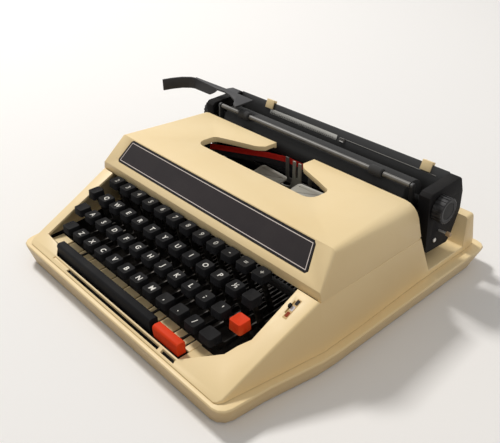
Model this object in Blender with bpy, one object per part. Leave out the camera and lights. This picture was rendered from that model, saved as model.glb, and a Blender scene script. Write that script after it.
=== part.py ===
"""A portable manual typewriter, each piece a closed solid.

Every shape is drawn in millimetres in the machine's own frame: x is 0 in the middle of the machine and
grows to the right, y is 0 at the front edge of the tray and grows to the rear, and z is 0 on the table.
A finished piece is scaled to metres and hangs from an empty at the middle of the front edge, so that the
world origin lies on the table under the middle of the tray.
"""

import math

import bmesh
import bpy
from mathutils import Matrix, Vector

MM = 0.001
GAP = 0.3

# Tray
RIM_DEPTH = 321.7
RIM_TOP = 21.0
RIM_WALL = 2.6
TRAY_BOTTOM = 1.5
TRAY_FLOOR = 4.0
LEDGE_BOTTOM = 18.5
PAD_RADIUS = 9.0

# Keyboard housing
SHELL = 2.5
FOOT = RIM_TOP + GAP
FRONT_Y = 4.2
FRONT_SLOT = (6.0, 9.3)
FRONT_SLOT_ENDS = ((-74.0, 68.0), (72.0, 89.0))
FRONT_LEDGE = (-100.0, -74.0, 22.9)
CORNER_FLOOR = (21.6, 23.4)
CORNER_REAR = 33.8
SLOPE_START = (6.4, 23.1)
SLOPE = 0.454
LIP_Y = 101.3
SEAM_Z = 64.6
HOOD_REAR = 226.5
DECK_START = 240.0
DECK_TOP = 26.5
BLOCK_FRONT = 293.8
BLOCK_TOP = 58.0
HOUSING_REAR = 313.5
TROUGH_HALF_WIDTH = 136.0

# Ribbon cover
COVER_WALL = 2.2
COVER_BOTTOM = SEAM_Z + GAP
LIP_TOP = 73.2
RIDGE = (123.4, 98.7)
COVER_REAR_TOP = 94.5
COVER_HALF_WIDTH = 151.3
COVER_PIVOT = (219.0, 88.0)
COVER_PIN_RADIUS = 2.0
INLAY_DEPTH = 1.2
INLAY_THICKNESS = 0.9

# Key work
KEY_PITCH = 19.05
LEVER_PITCH = KEY_PITCH / 4
FIRST_LEVER_X = -115.5
CAP_WIDTH = 13.2
CAP_HEIGHT = 7.0
LEVER_WIDTH = 1.2
LEVER_LOW = 19.5
LEVER_HIGH = 24.5
FULCRUM = (200.0, 30.0)
FULCRUM_RADIUS = 2.5
BAR_LOW = 10.0
BAR_HIGH = 14.0
BAR_RELIEF = 2.2
NUMBER_BAR_Y = 184.0
SHIFT_BAR_Y = 168.0
ROW_Y = (93.9, 74.4, 54.9, 35.4)
ROW_Z = (67.2, 58.9, 50.6, 42.3)
NUMBER_KEYS = 12
LETTER_ROWS = (
    (1, ("q", "w", "e", "r", "t", "y", "u", "i", "o", "p", "fraction"), 2),
    (2, ("a", "s", "d", "f", "g", "h", "j", "k", "l", "semicolon", "apostrophe"), 3),
    (3, ("z", "x", "c", "v", "b", "n", "m", "comma", "period", "slash"), 5),
)
SPACE_BAR = (-100.0, 49.5)
RED_BAR = (54.5, 86.5)
RED_CUBE = (110.4, 55.7, 51.2)

# Type basket and ribbon
PRINT_Y = 234.0
PRINT_Z = 84.0
SEGMENT_INNER = 20.0
SEGMENT_OUTER = 32.0
SEGMENT_LOW = 36.3
SEGMENT_HIGH = 48.0
TYPEBAR_PIVOT = (208.0, 46.5)
TYPEBAR_SWING = 125.0
TYPEBAR_COUNT = 28
TYPEBAR_STEP = 5.4
SLOT_WIDTH = 1.3
SLOT_DEPTH = 3.5
SPOOL_X = 104.0
SPOOL_Y = 178.0
SPOOL_RADIUS = 21.0
SPOOL_WOUND = 17.0
CUP_Z = 62.0
SELECTOR = (133.3, 86.3)
SELECTOR_REACH = 4.1
SELECTOR_STEM = (0.5, 1.2)

# Carriage
PLATEN_AXIS = (252.0, 84.0)
PLATEN_RADIUS = 15.0
PLATEN_HALF_LENGTH = 120.0
SHAFT_RADIUS = 3.0
PLATE_OUTER_X = 148.0
PLATE_INNER_X = 137.0
BAIL_AXIS = (240.7, 100.5)
BAIL_RADIUS = 1.6
BAIL_PIVOT = (243.5, 70.0)
BAIL_ROLLER = 4.6
BAIL_ROLLER_X = 88.0
KNOB_RADIUS = 11.5
RAIL_TOP = 35.5
LEVER_PIVOT = (-129.0, 260.5)
TABLE_PATH = ((282.0, 102.7), (279.0, 96.0), (274.8, 86.0), (272.6, 75.0), (272.0, 63.0))
STOP_X = (-90.0, 114.0)

FINISHES = {
    "cream plastic": ((0.86, 0.74, 0.50), 0.45, 0.0),
    "black panel": ((0.03, 0.025, 0.028), 0.35, 0.0),
    "black key": ((0.025, 0.025, 0.028), 0.35, 0.0),
    "red key": ((0.70, 0.05, 0.02), 0.4, 0.0),
    "black enamel": ((0.03, 0.03, 0.032), 0.4, 0.0),
    "bright steel": ((0.62, 0.61, 0.58), 0.35, 1.0),
    "dark steel": ((0.22, 0.22, 0.22), 0.5, 1.0),
    "platen rubber": ((0.02, 0.02, 0.02), 0.6, 0.0),
    "ribbon cloth": ((0.05, 0.04, 0.04), 0.9, 0.0),
}


def clear_scene():
    """Take out whatever the scene holds."""
    for old in list(bpy.data.objects):
        bpy.data.objects.remove(old)


def material(name):
    """The named finish, made once."""
    found = bpy.data.materials.get(name)
    if found:
        return found
    colour, roughness, metallic = FINISHES[name]
    made = bpy.data.materials.new(name)
    made.use_nodes = True
    shader = made.node_tree.nodes["Principled BSDF"]
    shader.inputs["Base Color"].default_value = (*colour, 1.0)
    shader.inputs["Roughness"].default_value = roughness
    shader.inputs["Metallic"].default_value = metallic
    made.diffuse_color = (*colour, 1.0)
    return made


def loft(rings):
    """A closed body skinned over rings of equal count, with both ends capped."""
    body = bmesh.new()
    skins = [[body.verts.new(point) for point in ring] for ring in rings]
    count = len(rings[0])
    for near, far in zip(skins, skins[1:]):
        for i in range(count):
            j = (i + 1) % count
            body.faces.new((near[i], near[j], far[j], far[i]))
    body.faces.new(skins[0])
    body.faces.new(skins[-1])
    bmesh.ops.recalc_face_normals(body, faces=body.faces)
    return body


def on_plane(axis, u, v, w):
    """The point at u, v on the plane across an axis, w along it."""
    if axis == "X":
        return (w, u, v)
    if axis == "Y":
        return (u, w, v)
    return (u, v, w)


def prism(outline, start, end, axis="X"):
    """A flat outline run from start to end along an axis."""
    return loft([[on_plane(axis, u, v, w) for u, v in outline] for w in (start, end)])


def block(low, high):
    """A box between two corners."""
    outline = [(low[0], low[1]), (high[0], low[1]), (high[0], high[1]), (low[0], high[1])]
    return prism(outline, low[2], high[2], "Z")


def arc(centre, radius, start, end, steps):
    """Points along an arc, from one angle to another in degrees."""
    points = []
    for i in range(steps + 1):
        angle = math.radians(start + (end - start) * i / steps)
        points.append((centre[0] + radius * math.cos(angle), centre[1] + radius * math.sin(angle)))
    return points


def circle(centre, radius, sides):
    """The corners of a regular polygon round a centre."""
    return arc(centre, radius, 0, 360, sides)[:-1]


def turned(profile, centre, axis="X", sides=16):
    """A body turned about an axis, from pairs of place along the axis and radius."""
    rings = []
    for along, radius in profile:
        rings.append([on_plane(axis, u, v, along) for u, v in circle(centre, radius, sides)])
    return loft(rings)


def strip(path, thickness):
    """The outline of a thin sheet that follows a path, half its thickness to each side."""
    left, right = [], []
    for i, point in enumerate(path):
        before = Vector(path[max(i - 1, 0)])
        after = Vector(path[min(i + 1, len(path) - 1)])
        along = (after - before).normalized()
        across = Vector((-along.y, along.x)) * thickness / 2
        left.append(tuple(Vector(point) + across))
        right.append(tuple(Vector(point) - across))
    return left + right[::-1]


def as_object(body):
    """A passing object that holds a body while it is cut or joined."""
    mesh = bpy.data.meshes.new("passing")
    body.to_mesh(mesh)
    body.free()
    made = bpy.data.objects.new("passing", mesh)
    bpy.context.scene.collection.objects.link(made)
    return made


def combine(body, others, operation):
    """Join other bodies to a body, take them from it, or keep what they share."""
    base = as_object(body)
    tools = [as_object(other) for other in others]
    for tool in tools:
        step = base.modifiers.new("combine", "BOOLEAN")
        step.operation = operation
        step.object = tool
        step.solver = "EXACT"
    evaluated = base.evaluated_get(bpy.context.evaluated_depsgraph_get())
    result = bmesh.new()
    result.from_mesh(evaluated.to_mesh())
    evaluated.to_mesh_clear()
    bmesh.ops.remove_doubles(result, verts=result.verts, dist=0.002)
    bmesh.ops.dissolve_degenerate(result, edges=result.edges, dist=0.002)
    for spent in [base] + tools:
        bpy.data.objects.remove(spent)
    return result


def join(body, *others):
    """One body of several that overlap."""
    return combine(body, others, "UNION")


def cut(body, *others):
    """A body less the others."""
    return combine(body, others, "DIFFERENCE")


def common(body, *others):
    """What a body shares with the others."""
    return combine(body, others, "INTERSECT")


def mesh_about(body, pivot):
    """The mesh of a body in metres, with its origin at a pivot given in millimetres."""
    body.transform(Matrix.Scale(MM, 4) @ Matrix.Translation(-Vector(pivot)))
    mesh = bpy.data.meshes.new("mesh")
    body.to_mesh(mesh)
    body.free()
    mesh.shade_smooth()
    mesh.set_sharp_from_angle(angle=math.radians(32))
    return mesh


def place(name, mesh, finish, pivot):
    """A named piece whose origin lies at a pivot given in millimetres."""
    if not mesh.materials:
        mesh.materials.append(material(finish))
        mesh.name = name
    piece = bpy.data.objects.new(name, mesh)
    piece.location = Vector(pivot) * MM
    piece.parent = bpy.data.objects["front_edge"]
    bpy.context.scene.collection.objects.link(piece)
    return piece


def add(name, body, finish, pivot=(0, 0, 0)):
    """A named piece from a body."""
    return place(name, mesh_about(body, pivot), finish, pivot)


def blend(value, stops):
    """The height of a line through stops at a value."""
    for (low, at_low), (high, at_high) in zip(stops, stops[1:]):
        if value <= high:
            share = max(0.0, (value - low) / (high - low))
            return at_low + (at_high - at_low) * share
    return stops[-1][1]


def plan_outline(half_width, front, rear, radius, stations, steps=3):
    """The outline of a shell seen from above: sides that follow half_width(y), with round corners."""
    side = []
    for angle in range(steps + 1):
        turn = math.radians(90 * angle / steps)
        y = front + radius * (1 - math.cos(turn))
        side.append((half_width(y) - radius * (1 - math.sin(turn)), y))
    side += [(half_width(y), y) for y in stations]
    for angle in range(steps + 1):
        turn = math.radians(90 * angle / steps)
        y = rear - radius * (1 - math.sin(turn))
        side.append((half_width(y) - radius * (1 - math.cos(turn)), y))
    return side + [(-x, y) for x, y in reversed(side)]


def rim_half_width(y):
    """Half the width of the tray's rim, which spreads towards the rear."""
    return blend(y, [(0, 151.5), (44, 155.8), (92, 164.3), (112, 165.5), (330, 165.5)])


def foot_half_width(y):
    """Half the width of the housing where it stands on the tray."""
    stops = [(7, 143.5), (17, 145), (58, 151.5), (100, 158), (142, 158), (199, 155.5), (330, 155.5)]
    return blend(y, stops)


def seam_half_width(y):
    """Half the width of the housing at the height of the seam."""
    stops = [
        (7, 134), (17, 137), (58, 143.5), (100, 150.6), (142, 151.3), (240, 151.3), (290, 154), (330, 155),
    ]
    return blend(y, stops)


def slope_z(y):
    """Height of the sloping surface round the keys."""
    return SLOPE_START[1] + SLOPE * (y - SLOPE_START[0])


def tray():
    """The flared lower shell, with an inward ledge for the housing and four pads under it."""
    stations = (44, 92, 112, 200, 280)
    levels = [
        (TRAY_BOTTOM, 6.0, 3.7, 10.0, 12),
        (RIM_TOP - 1.5, 0.0, 0.0, 0.0, 10),
        (RIM_TOP, 0.9, 0.9, 0.9, 10),
        (RIM_TOP, 14.0, 11.0, 14.0, 6),
        (LEDGE_BOTTOM, 14.0, 11.0, 14.0, 6),
        (LEDGE_BOTTOM, 0.5 + RIM_WALL, 0.3 + RIM_WALL, 0.8 + RIM_WALL, 8),
        (TRAY_FLOOR, 5.2 + RIM_WALL, 3.2 + RIM_WALL, 8.8 + RIM_WALL, 10),
    ]
    rings = []
    for z, side, front, rear, radius in levels:
        inner = RIM_DEPTH - rear
        outline = plan_outline(lambda y: rim_half_width(y) - side, front, inner, radius, stations)
        rings.append([(x, y, z) for x, y in outline])
    pads = []
    for x in (-125, 125):
        for y in (28, 288):
            profile = [(0, PAD_RADIUS - 1), (0.8, PAD_RADIUS), (2.5, PAD_RADIUS)]
            pads.append(turned(profile, (x, y), "Z", 16))
    low, high = FRONT_SLOT_ENDS[0][0] - 1, FRONT_SLOT_ENDS[1][1] + 1
    notch = block((low, FRONT_SLOT[0] - 0.4, LEDGE_BOTTOM - 3), (high, 11.5, RIM_TOP + 4))
    return cut(join(loft(rings), *pads), notch)


def housing_form(inset):
    """The housing's form, drawn in by an inset: a skin over cross-sections from the front to the rear."""
    drop = inset * 1.1
    stations = [
        (FRONT_Y + inset, slope_z(FRONT_Y + inset) - drop, -5.0, 0.6),
        (FRONT_Y + inset + 1.5, slope_z(FRONT_Y + inset + 1.5) - drop, -2.0, 1.0),
        (FRONT_Y + inset + 5, slope_z(FRONT_Y + inset + 5) - drop, 0.0, 1.5),
        (58, slope_z(58) - drop, 0.0, 2.6),
        (LIP_Y - 1.3, slope_z(LIP_Y - 1.3) - drop, 0.0, 2.6),
        (LIP_Y - 0.4, SEAM_Z - inset, 0.0, 1.0),
        (142, SEAM_Z - inset, 0.0, 1.0),
        (HOOD_REAR - inset, SEAM_Z - inset, 0.0, 1.0),
        (DECK_START - inset, DECK_TOP - inset, 0.0, 0.8),
        (BLOCK_FRONT + inset, DECK_TOP - inset, 0.0, 0.8),
        (BLOCK_FRONT + 0.9 + inset, BLOCK_TOP - inset, 0.0, 3.0),
        (BLOCK_FRONT + 11.2 - inset, BLOCK_TOP - inset, 0.0, 3.0),
        (HOUSING_REAR - 1.5 - inset, DECK_TOP + 4, -1.0, 2.0),
        (HOUSING_REAR - inset, DECK_TOP - 2, -3.5, 1.0),
    ]
    rings = []
    for y, top, draw_in, radius in stations:
        foot = foot_half_width(y) + draw_in - inset
        rise = (top - FOOT) / (SEAM_Z - FOOT)
        corner = foot + (seam_half_width(y) - foot_half_width(y)) * rise
        bottom = FOOT - 2 * inset
        half = rounded_section(foot, bottom, corner, top, radius)
        rings.append([(x, y, z) for x, z in half + [(-x, z) for x, z in reversed(half)]])
    return loft(rings)


def well_outline():
    """The opening that the keys stand in, seen from above."""
    return [
        (-132.0, 20), (-110, 18.5), (-99, 10.5), (90, 10.5), (118, 33), (122, 43),
        (127.5, 52), (127.8, 99), (127.8, LIP_Y + 3), (-134, LIP_Y + 3), (-133.6, 60),
    ]


def corner_floor():
    """The floor moulded into the front right corner of the well, with the wall that it hangs from."""
    inside = [(88.2, CORNER_REAR + 1), (88.2, 10.5), (90, 10.5), (118, 33), (118.8, CORNER_REAR + 1)]
    around = [(88.2, CORNER_REAR), (88.2, 7.5), (92, 7.5), (121, 31.5), (121.8, CORNER_REAR)]
    low, top = CORNER_FLOOR
    return cut(common(prism(around, low, 60, "Z"), housing_form(0.4)), prism(inside, top, 60, "Z"))


def front_slots():
    """The long slots behind the front edge, and the shallow ledge at their left end, as cutters."""
    near, far = FRONT_SLOT
    slots = [block((low, near, 12), (high, far, 40)) for low, high in FRONT_SLOT_ENDS]
    low, high, floor = FRONT_LEDGE
    return slots + [block((low, near, floor), (high, far, 40))]


def selector_slot():
    """The slot beside the well that the colour selector's stem runs in, as a cutter."""
    x, y = SELECTOR
    reach = SELECTOR_REACH + SELECTOR_STEM[1] + GAP
    half = SELECTOR_STEM[0] + GAP
    return block((x - half, y - reach, 30), (x + half, y + reach, 80))


def housing():
    """The upper shell: a sloping surround with the key well, side walls, and the trough behind."""
    outer = housing_form(0)
    open_top = block((-147.6, LIP_Y - 1, SEAM_Z - 16), (147.6, HOOD_REAR - 6, SEAM_Z + 20))
    trough = block((-TROUGH_HALF_WIDTH, HOOD_REAR - 10, 10), (TROUGH_HALF_WIDTH, 290, SEAM_Z + 20))
    shell = cut(outer, housing_form(SHELL), prism(well_outline(), 12, 90, "Z"), open_top, trough)
    shell = cut(shell, selector_slot(), *front_slots())
    return join(shell, corner_floor())


def rounded_section(bottom, bottom_z, corner, top_z, radius, steps=4):
    """Half of a hood's cross-section: a side that leans in, a round shoulder and the top, as x and z."""
    lean = math.atan2(top_z - bottom_z, corner - bottom)
    reach = radius * math.tan((math.pi - lean) / 2)
    centre = (corner - reach, top_z - radius)
    start = lean - math.pi / 2
    points = [(bottom, bottom_z)]
    points += arc(centre, radius, math.degrees(start), 90, steps)
    return points


def hood(inset, front, rear, floor):
    """The ribbon cover's form: a blunt lip, a sloping face, and a top whose shoulders grow rounder."""
    sections = [
        (front, LIP_TOP, 149.6, 1.6 + inset * 0.1),
        (RIDGE[0] + inset * 0.3, RIDGE[1], 143.6, 6.0 - inset * 0.4),
        (150.0, 97.6, 143.6, 9.0 - inset),
        (185.0, 96.2, 143.4, 13.0 - inset),
        (rear, COVER_REAR_TOP, 143.0, 16.0 - inset),
    ]
    rings = []
    for y, top, corner, radius in sections:
        half = rounded_section(COVER_HALF_WIDTH - inset, floor, corner - inset, top - inset, radius)
        ring = half + [(-x, z) for x, z in reversed(half)]
        rings.append([(x, y, z) for x, z in ring])
    return loft(rings)


def opening_outline(grow):
    """The U-shaped opening over the type basket, seen from above, grown by a margin."""
    half = [
        (25.5, HOOD_REAR + 6), (25.5, 211.5), (30, 207), (34, 204.5), (60, 196), (70.5, 192),
    ]
    half += arc((70.0, 184.5), 7.5, 60, 0, 3)
    half += arc((67.5, 176.0), 10.0, 0, -90, 4)
    grown = []
    for x, y in half:
        wider = grow if x < 31 else grow * 0.8
        deeper = grow if y < 180 and x < 72 else 0
        grown.append((x + wider, y - deeper))
    return grown + [(-x, y) for x, y in reversed(grown)]


def on_front(x, up, out):
    """A point on the cover's sloping face: x across, up the slope from the lip, out from the face."""
    run = Vector((0, RIDGE[0] - LIP_Y, RIDGE[1] - LIP_TOP)).normalized()
    away = Vector((0, -run.z, run.y))
    return Vector((x, LIP_Y, LIP_TOP)) + run * up + away * out


def panel(outline, low, high):
    """A flat panel laid on the cover's sloping face, between two heights above it."""
    return loft([[on_front(x, up, out) for x, up in outline] for out in (low, high)])


def inlay_outline(margin):
    """The inlay's outline on the sloping face, less a margin, with tapered ends and clipped corners."""
    low, high = 7.0 + margin, 32.4 - margin
    wide, narrow = 131.0 - margin, 124.5 - margin
    half = [(wide - 2.5, low), (wide, low + 2.5), (narrow + 0.8, high - 2.5), (narrow - 1.8, high)]
    return half + [(-x, up) for x, up in reversed(half)]


def cover():
    """The hinged hood: a shell open below and behind, with the inlay's pocket and a flanged opening."""
    outer = hood(0, LIP_Y, HOOD_REAR, COVER_BOTTOM)
    flange = common(
        prism(opening_outline(COVER_WALL), 90.5, 110, "Z"), hood(0, LIP_Y, HOOD_REAR, COVER_BOTTOM)
    )
    inner = hood(COVER_WALL, LIP_Y + COVER_WALL, HOOD_REAR - COVER_WALL, COVER_BOTTOM - 4)
    rear_opening = block((-138.5, HOOD_REAR - 8, COVER_BOTTOM - 4), (138.5, HOOD_REAR + 4, 89.0))
    pivot_y = COVER_PIVOT[0]
    below = [(pivot_y, 60), (pivot_y + 9, 60), (pivot_y + 9, 66.8), (pivot_y + 4, 65.6), (pivot_y, 64.9)]
    corner_cut = prism(below, -160, 160, "X")
    shell = cut(outer, inner)
    lugs = []
    for side in (-1, 1):
        plate = [(COVER_PIVOT[0] - 4, COVER_PIVOT[1] - 4), (COVER_PIVOT[0] + 4, COVER_PIVOT[1] - 4),
                 (COVER_PIVOT[0] + 4, 92.4), (COVER_PIVOT[0] - 4, 92.4)]
        lugs.append(prism(plate, side * 134.0, side * 136.5, "X"))
        pin = [(side * 129.6, COVER_PIN_RADIUS), (side * 135.0, COVER_PIN_RADIUS)]
        lugs.append(turned(pin, COVER_PIVOT, "X", 12))
    shell = join(shell, flange, *lugs)
    opening = prism(opening_outline(0), 84, 112, "Z")
    pocket = panel(inlay_outline(-GAP), -INLAY_DEPTH, 4)
    return cut(shell, opening, rear_opening, corner_cut, pocket)


def inlay():
    """The thin panel that fills the pocket in the cover's face."""
    return panel(inlay_outline(0), GAP - INLAY_DEPTH, GAP - INLAY_DEPTH + INLAY_THICKNESS)


def cap_body(width, depth, top, height, pinch=0.9, dish=0.9):
    """A keycap: a skirt that draws in towards the top, and a dished top. Its middle is at x 0, y 0."""

    def ring(half_x, half_y, corner, z):
        points = []
        for sx, sy, start in ((1, 1, 0), (-1, 1, 90), (-1, -1, 180), (1, -1, 270)):
            centre = (sx * (half_x - corner), sy * (half_y - corner))
            points += [(x, y, z) for x, y in arc(centre, corner, start, start + 90, 1)]
        return points

    half_x, half_y = width / 2, depth / 2
    return loft([
        ring(half_x, half_y, 1.6, top - height),
        ring(half_x - pinch, half_y - pinch, 1.8, top - 0.5),
        ring(half_x - pinch - 0.6, half_y - pinch - 0.6, 1.6, top),
        ring(half_x - pinch - 2.0, half_y - pinch - 2.0, 1.6, top - dish),
    ])


def lever_outline(cap_y, cap_low, bar_y=None):
    """A key lever seen from its side: a hook over the fulcrum shaft, an arm, and a stem that slopes up."""
    shaft_y, shaft_z = FULCRUM
    hook = arc(FULCRUM, FULCRUM_RADIUS + GAP, 0, -180, 6)
    points = [(shaft_y + 6, shaft_z + 5), (shaft_y + FULCRUM_RADIUS + GAP, shaft_z + 5)]
    points += hook
    points += [
        (shaft_y - FULCRUM_RADIUS - GAP, shaft_z + 5), (shaft_y - 6, shaft_z + 5),
        (shaft_y - 11, LEVER_HIGH), (cap_y + 13, LEVER_HIGH), (cap_y + 2.2, cap_low + 2),
        (cap_y - 2.2, cap_low + 2), (cap_y + 8, LEVER_LOW),
    ]
    if bar_y:
        points += [(bar_y - 3, LEVER_LOW), (bar_y - 1.5, BAR_LOW)]
        points += [(bar_y + 1.5, BAR_LOW), (bar_y + 3, LEVER_LOW)]
    rear_low = LEVER_LOW + 1
    if bar_y != NUMBER_BAR_Y:
        rear_low = LEVER_LOW + BAR_RELIEF
        points += [(NUMBER_BAR_Y - 9, LEVER_LOW), (NUMBER_BAR_Y - 4, rear_low)]
    points += [(shaft_y + 2, rear_low), (shaft_y + 6, shaft_z - 5)]
    return points


def lever(x, cap_y, cap_low, bar_y=None):
    """A key lever on its slot at x."""
    return prism(lever_outline(cap_y, cap_low, bar_y), x - LEVER_WIDTH / 2, x + LEVER_WIDTH / 2, "X")


def moved(body, x, y, z=0):
    """A body shifted from where it was drawn."""
    bmesh.ops.translate(body, vec=(x, y, z), verts=body.verts)
    return body


def key_body(cap_y, top):
    """One key, with its lever in the plane x 0."""
    cap = moved(cap_body(CAP_WIDTH, CAP_WIDTH, top, CAP_HEIGHT), 0, cap_y)
    return join(lever(0, cap_y, top - CAP_HEIGHT), cap)


def slot_x(slot):
    """Where a numbered lever slot lies across the machine."""
    return FIRST_LEVER_X + slot * LEVER_PITCH


def row_place(row):
    """Where the cap tops of a row lie: the middle in y, and the height. Row 0 is the number row."""
    return ROW_Y[row], ROW_Z[row]


def letter_keys():
    """The three rows of letter keys, each key on its own lever. Keys of a row share one mesh."""
    for row, names, first_slot in LETTER_ROWS:
        cap_y, top = row_place(row)
        mesh = mesh_about(key_body(cap_y, top), (0, *FULCRUM))
        for i, name in enumerate(names):
            place(f"key_{name}", mesh, "black key", (slot_x(first_slot + 4 * i), *FULCRUM))


def cross_bar(first_slot, last_slot, y):
    """A bar under the other levers that ties some levers together, from one slot to another."""
    low = (slot_x(first_slot) - 2, y - 1.2, BAR_LOW + 0.5)
    high = (slot_x(last_slot) + 2, y + 1.2, BAR_HIGH)
    return block(low, high)


def number_row():
    """The twelve keys of the number row, whose levers share one bar under the others."""
    cap_y, top = row_place(0)
    pieces = []
    for i in range(NUMBER_KEYS):
        x = slot_x(4 * i)
        cap = moved(cap_body(CAP_WIDTH, CAP_WIDTH, top, CAP_HEIGHT), x, cap_y)
        pieces += [lever(x, cap_y, top - CAP_HEIGHT, NUMBER_BAR_Y), cap]
    return join(cross_bar(0, 44, NUMBER_BAR_Y), *pieces)


def shift_keys():
    """Both shift keys and the shift lock, which ride on one yoke."""
    cap_y, top = row_place(3)
    lock_y, lock_top = row_place(2)
    pieces = []
    for slot, width in ((1, 13.2), (45, 15.0)):
        cap = moved(cap_body(width, CAP_WIDTH, top, CAP_HEIGHT), slot_x(slot), cap_y)
        pieces += [lever(slot_x(slot), cap_y, top - CAP_HEIGHT, SHIFT_BAR_Y), cap]
    lock_cap = moved(cap_body(CAP_WIDTH, CAP_WIDTH, lock_top, CAP_HEIGHT), slot_x(-1), lock_y)
    pieces += [lever(slot_x(-1), lock_y, lock_top - CAP_HEIGHT, SHIFT_BAR_Y), lock_cap]
    return join(cross_bar(-1, 45, SHIFT_BAR_Y), *pieces)


def single_key(slot, row, raise_by, width, depth, height=CAP_HEIGHT):
    """A key of its own size, a little above its row."""
    cap_y, top = row_place(row)
    top += raise_by
    cap = moved(cap_body(width, depth, top, height), slot_x(slot), cap_y)
    return join(lever(slot_x(slot), cap_y, top - height), cap)


def red_cube():
    """The small red key right of the middle row: a cube with a flat top."""
    x, y, top = RED_CUBE
    cap = moved(cap_body(13.4, 13.0, top, 9.5, pinch=0.3, dish=0.4), x, y)
    return join(lever(x, y, top - 9.5), cap)


def long_bar(low_x, high_x, outline, arm_slots):
    """A wide bar in front of the rows, on arms that reach back to the fulcrum shaft."""
    bar = prism(outline, low_x, high_x, "X")
    middle = sum(y for y, z in outline) / len(outline)
    arms = [lever(slot_x(slot), middle, min(z for y, z in outline) + 3) for slot in arm_slots]
    return join(bar, *arms)


def bar_outline(front, rear, low, high):
    """A bar's cross-section: an upright front, a rounded front edge and a top that falls to the rear."""
    nose = arc((front + 3.0, high - 3.0), 3.0, 180, 90, 3)
    return [(rear, low), (front + 0.6, low)] + nose + [(rear - 0.8, high - 0.4), (rear, high - 1.4)]


def keyboard():
    """Every key."""
    letter_keys()
    pivot = (0, *FULCRUM)
    add("number_row_keys", number_row(), "black key", pivot)
    add("shift_keys", shift_keys(), "black key", pivot)
    add("margin_release_key", single_key(-2, 1, 1.0, 11.5, 13.2, 8.0), "black key", pivot)
    add("backspace_key", single_key(46, 1, 1.5, 12.5, 13.2, 8.0), "black key", pivot)
    add("red_tab_key", red_cube(), "red key", pivot)
    space = long_bar(SPACE_BAR[0], SPACE_BAR[1], bar_outline(12.8, 21.5, 22.6, 36.5), (6.6, 30.6))
    add("space_bar", space, "black key", pivot)
    red = long_bar(RED_BAR[0], RED_BAR[1], bar_outline(12.0, 20.5, 23.5, 35.5), (39.4,))
    add("red_tab_bar", red, "red key", pivot)


def side_plate_outline():
    """A frame side plate seen from the side, with an ear that carries the cover's hinge pin."""
    ear_y, ear_z = COVER_PIVOT
    return [
        (106, TRAY_FLOOR + GAP), (284, TRAY_FLOOR + GAP), (284, RAIL_TOP - 2), (231, RAIL_TOP - 2),
        (224, 52), (ear_y + 2.6, ear_z - 5),
    ] + arc(COVER_PIVOT, 3.9, -30, 180, 7) + [
        (ear_y - 3.9, ear_z - 10), (207, CUP_Z + 2), (150, CUP_Z + 2), (112, 54), (106, 48),
    ]


def spool_cup(side):
    """A shallow cup for a ribbon spool, with its post and the arm that holds it to the side plate."""
    centre = (side * SPOOL_X, SPOOL_Y)
    rim = SPOOL_RADIUS + 3
    dish = cut(
        turned([(CUP_Z, rim), (CUP_Z + 3.8, rim)], centre, "Z", 20),
        turned([(CUP_Z + 1.6, rim - 1.4), (CUP_Z + 9, rim - 1.4)], centre, "Z", 20),
    )
    near, far = sorted((side * 120, side * 132))
    arm = block((near, SPOOL_Y - 14, CUP_Z), (far, SPOOL_Y + 14, CUP_Z + 1.6))
    post = turned([(CUP_Z + 1, 2.6), (CUP_Z + 18, 2.6), (CUP_Z + 19.5, 1.4)], centre, "Z", 10)
    return [dish, arm, post]


def main_frame():
    """The chassis: side plates, cross bars, the fulcrum shaft, the carriage rail and the spool cups."""
    pieces = []
    for side in (-1, 1):
        plate = prism(side_plate_outline(), side * 130.5, side * 132.5, "X")
        window = prism(circle((150, 36), 13, 10), side * 129, side * 134, "X")
        pin_radius = COVER_PIN_RADIUS + 0.35
        pin_hole = turned([(side * 129, pin_radius), (side * 134, pin_radius)], COVER_PIVOT, "X", 12)
        pieces.append(cut(plate, pin_hole, window))
        pieces += spool_cup(side)
    bars = [
        ((-131, 108, 44), (131, 113, 49)),
        ((-131, 212, 28), (131, 230, SEGMENT_LOW - GAP)),
        ((-131, 258, 28), (131, 274, RAIL_TOP)),
        ((-131, 279, 6), (131, 283, 14)),
    ]
    pieces += [block(low, high) for low, high in bars]
    shaft = turned([(-131, FULCRUM_RADIUS), (131, FULCRUM_RADIUS)], FULCRUM, "X", 12)
    return join(shaft, *pieces)


def turned_back(points, pivot, angle):
    """Points of an outline turned about a pivot by an angle in degrees."""
    turn = Matrix.Rotation(math.radians(angle), 2)
    return [tuple(Vector(pivot) + turn @ (Vector(point) - Vector(pivot))) for point in points]


def typebar_outline():
    """A typebar seen from its side at rest: drawn at the printing point, then swung back to rest."""
    pivot = Vector(TYPEBAR_PIVOT)
    head = Vector((PRINT_Y + 0.2, PRINT_Z))
    along = (head - pivot).normalized()
    across = Vector((-along.y, along.x))
    heel = [pivot - across * 2.6 - along * 1.5, pivot - along * 3.0, pivot + across * 2.6 - along * 1.5]
    front = [pivot + across * 2.6 + along * 5, head + across * 1.2 - along * 6]
    slug = [
        (head.x - 0.8, PRINT_Z + 3), (head.x - 0.4, PRINT_Z + 4.4), (head.x + 2.0, PRINT_Z + 4.4),
        (head.x + 2.0, PRINT_Z - 4.4), (head.x - 0.4, PRINT_Z - 4.4),
    ]
    rear = [head - across * 1.6 - along * 8, pivot - across * 2.6 + along * 5]
    return turned_back(heel + front + slug + rear, TYPEBAR_PIVOT, TYPEBAR_SWING)


def slug_block(grow):
    """The type head, wider than its bar, at rest."""
    near, far = PRINT_Y - 0.2, PRINT_Y + 2.2
    low, high = PRINT_Z - 4.4, PRINT_Z + 4.4
    corners = [(near, low), (far, low), (far, high), (near, high)]
    return prism(turned_back(corners, TYPEBAR_PIVOT, TYPEBAR_SWING), -grow, grow, "X")


def turned_round(body, angle):
    """A body turned about the upright line through the printing point."""
    turn = Matrix.Rotation(math.radians(angle), 3, "Z")
    bmesh.ops.rotate(body, cent=(0, PRINT_Y, 0), matrix=turn, verts=body.verts)
    return body


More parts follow.
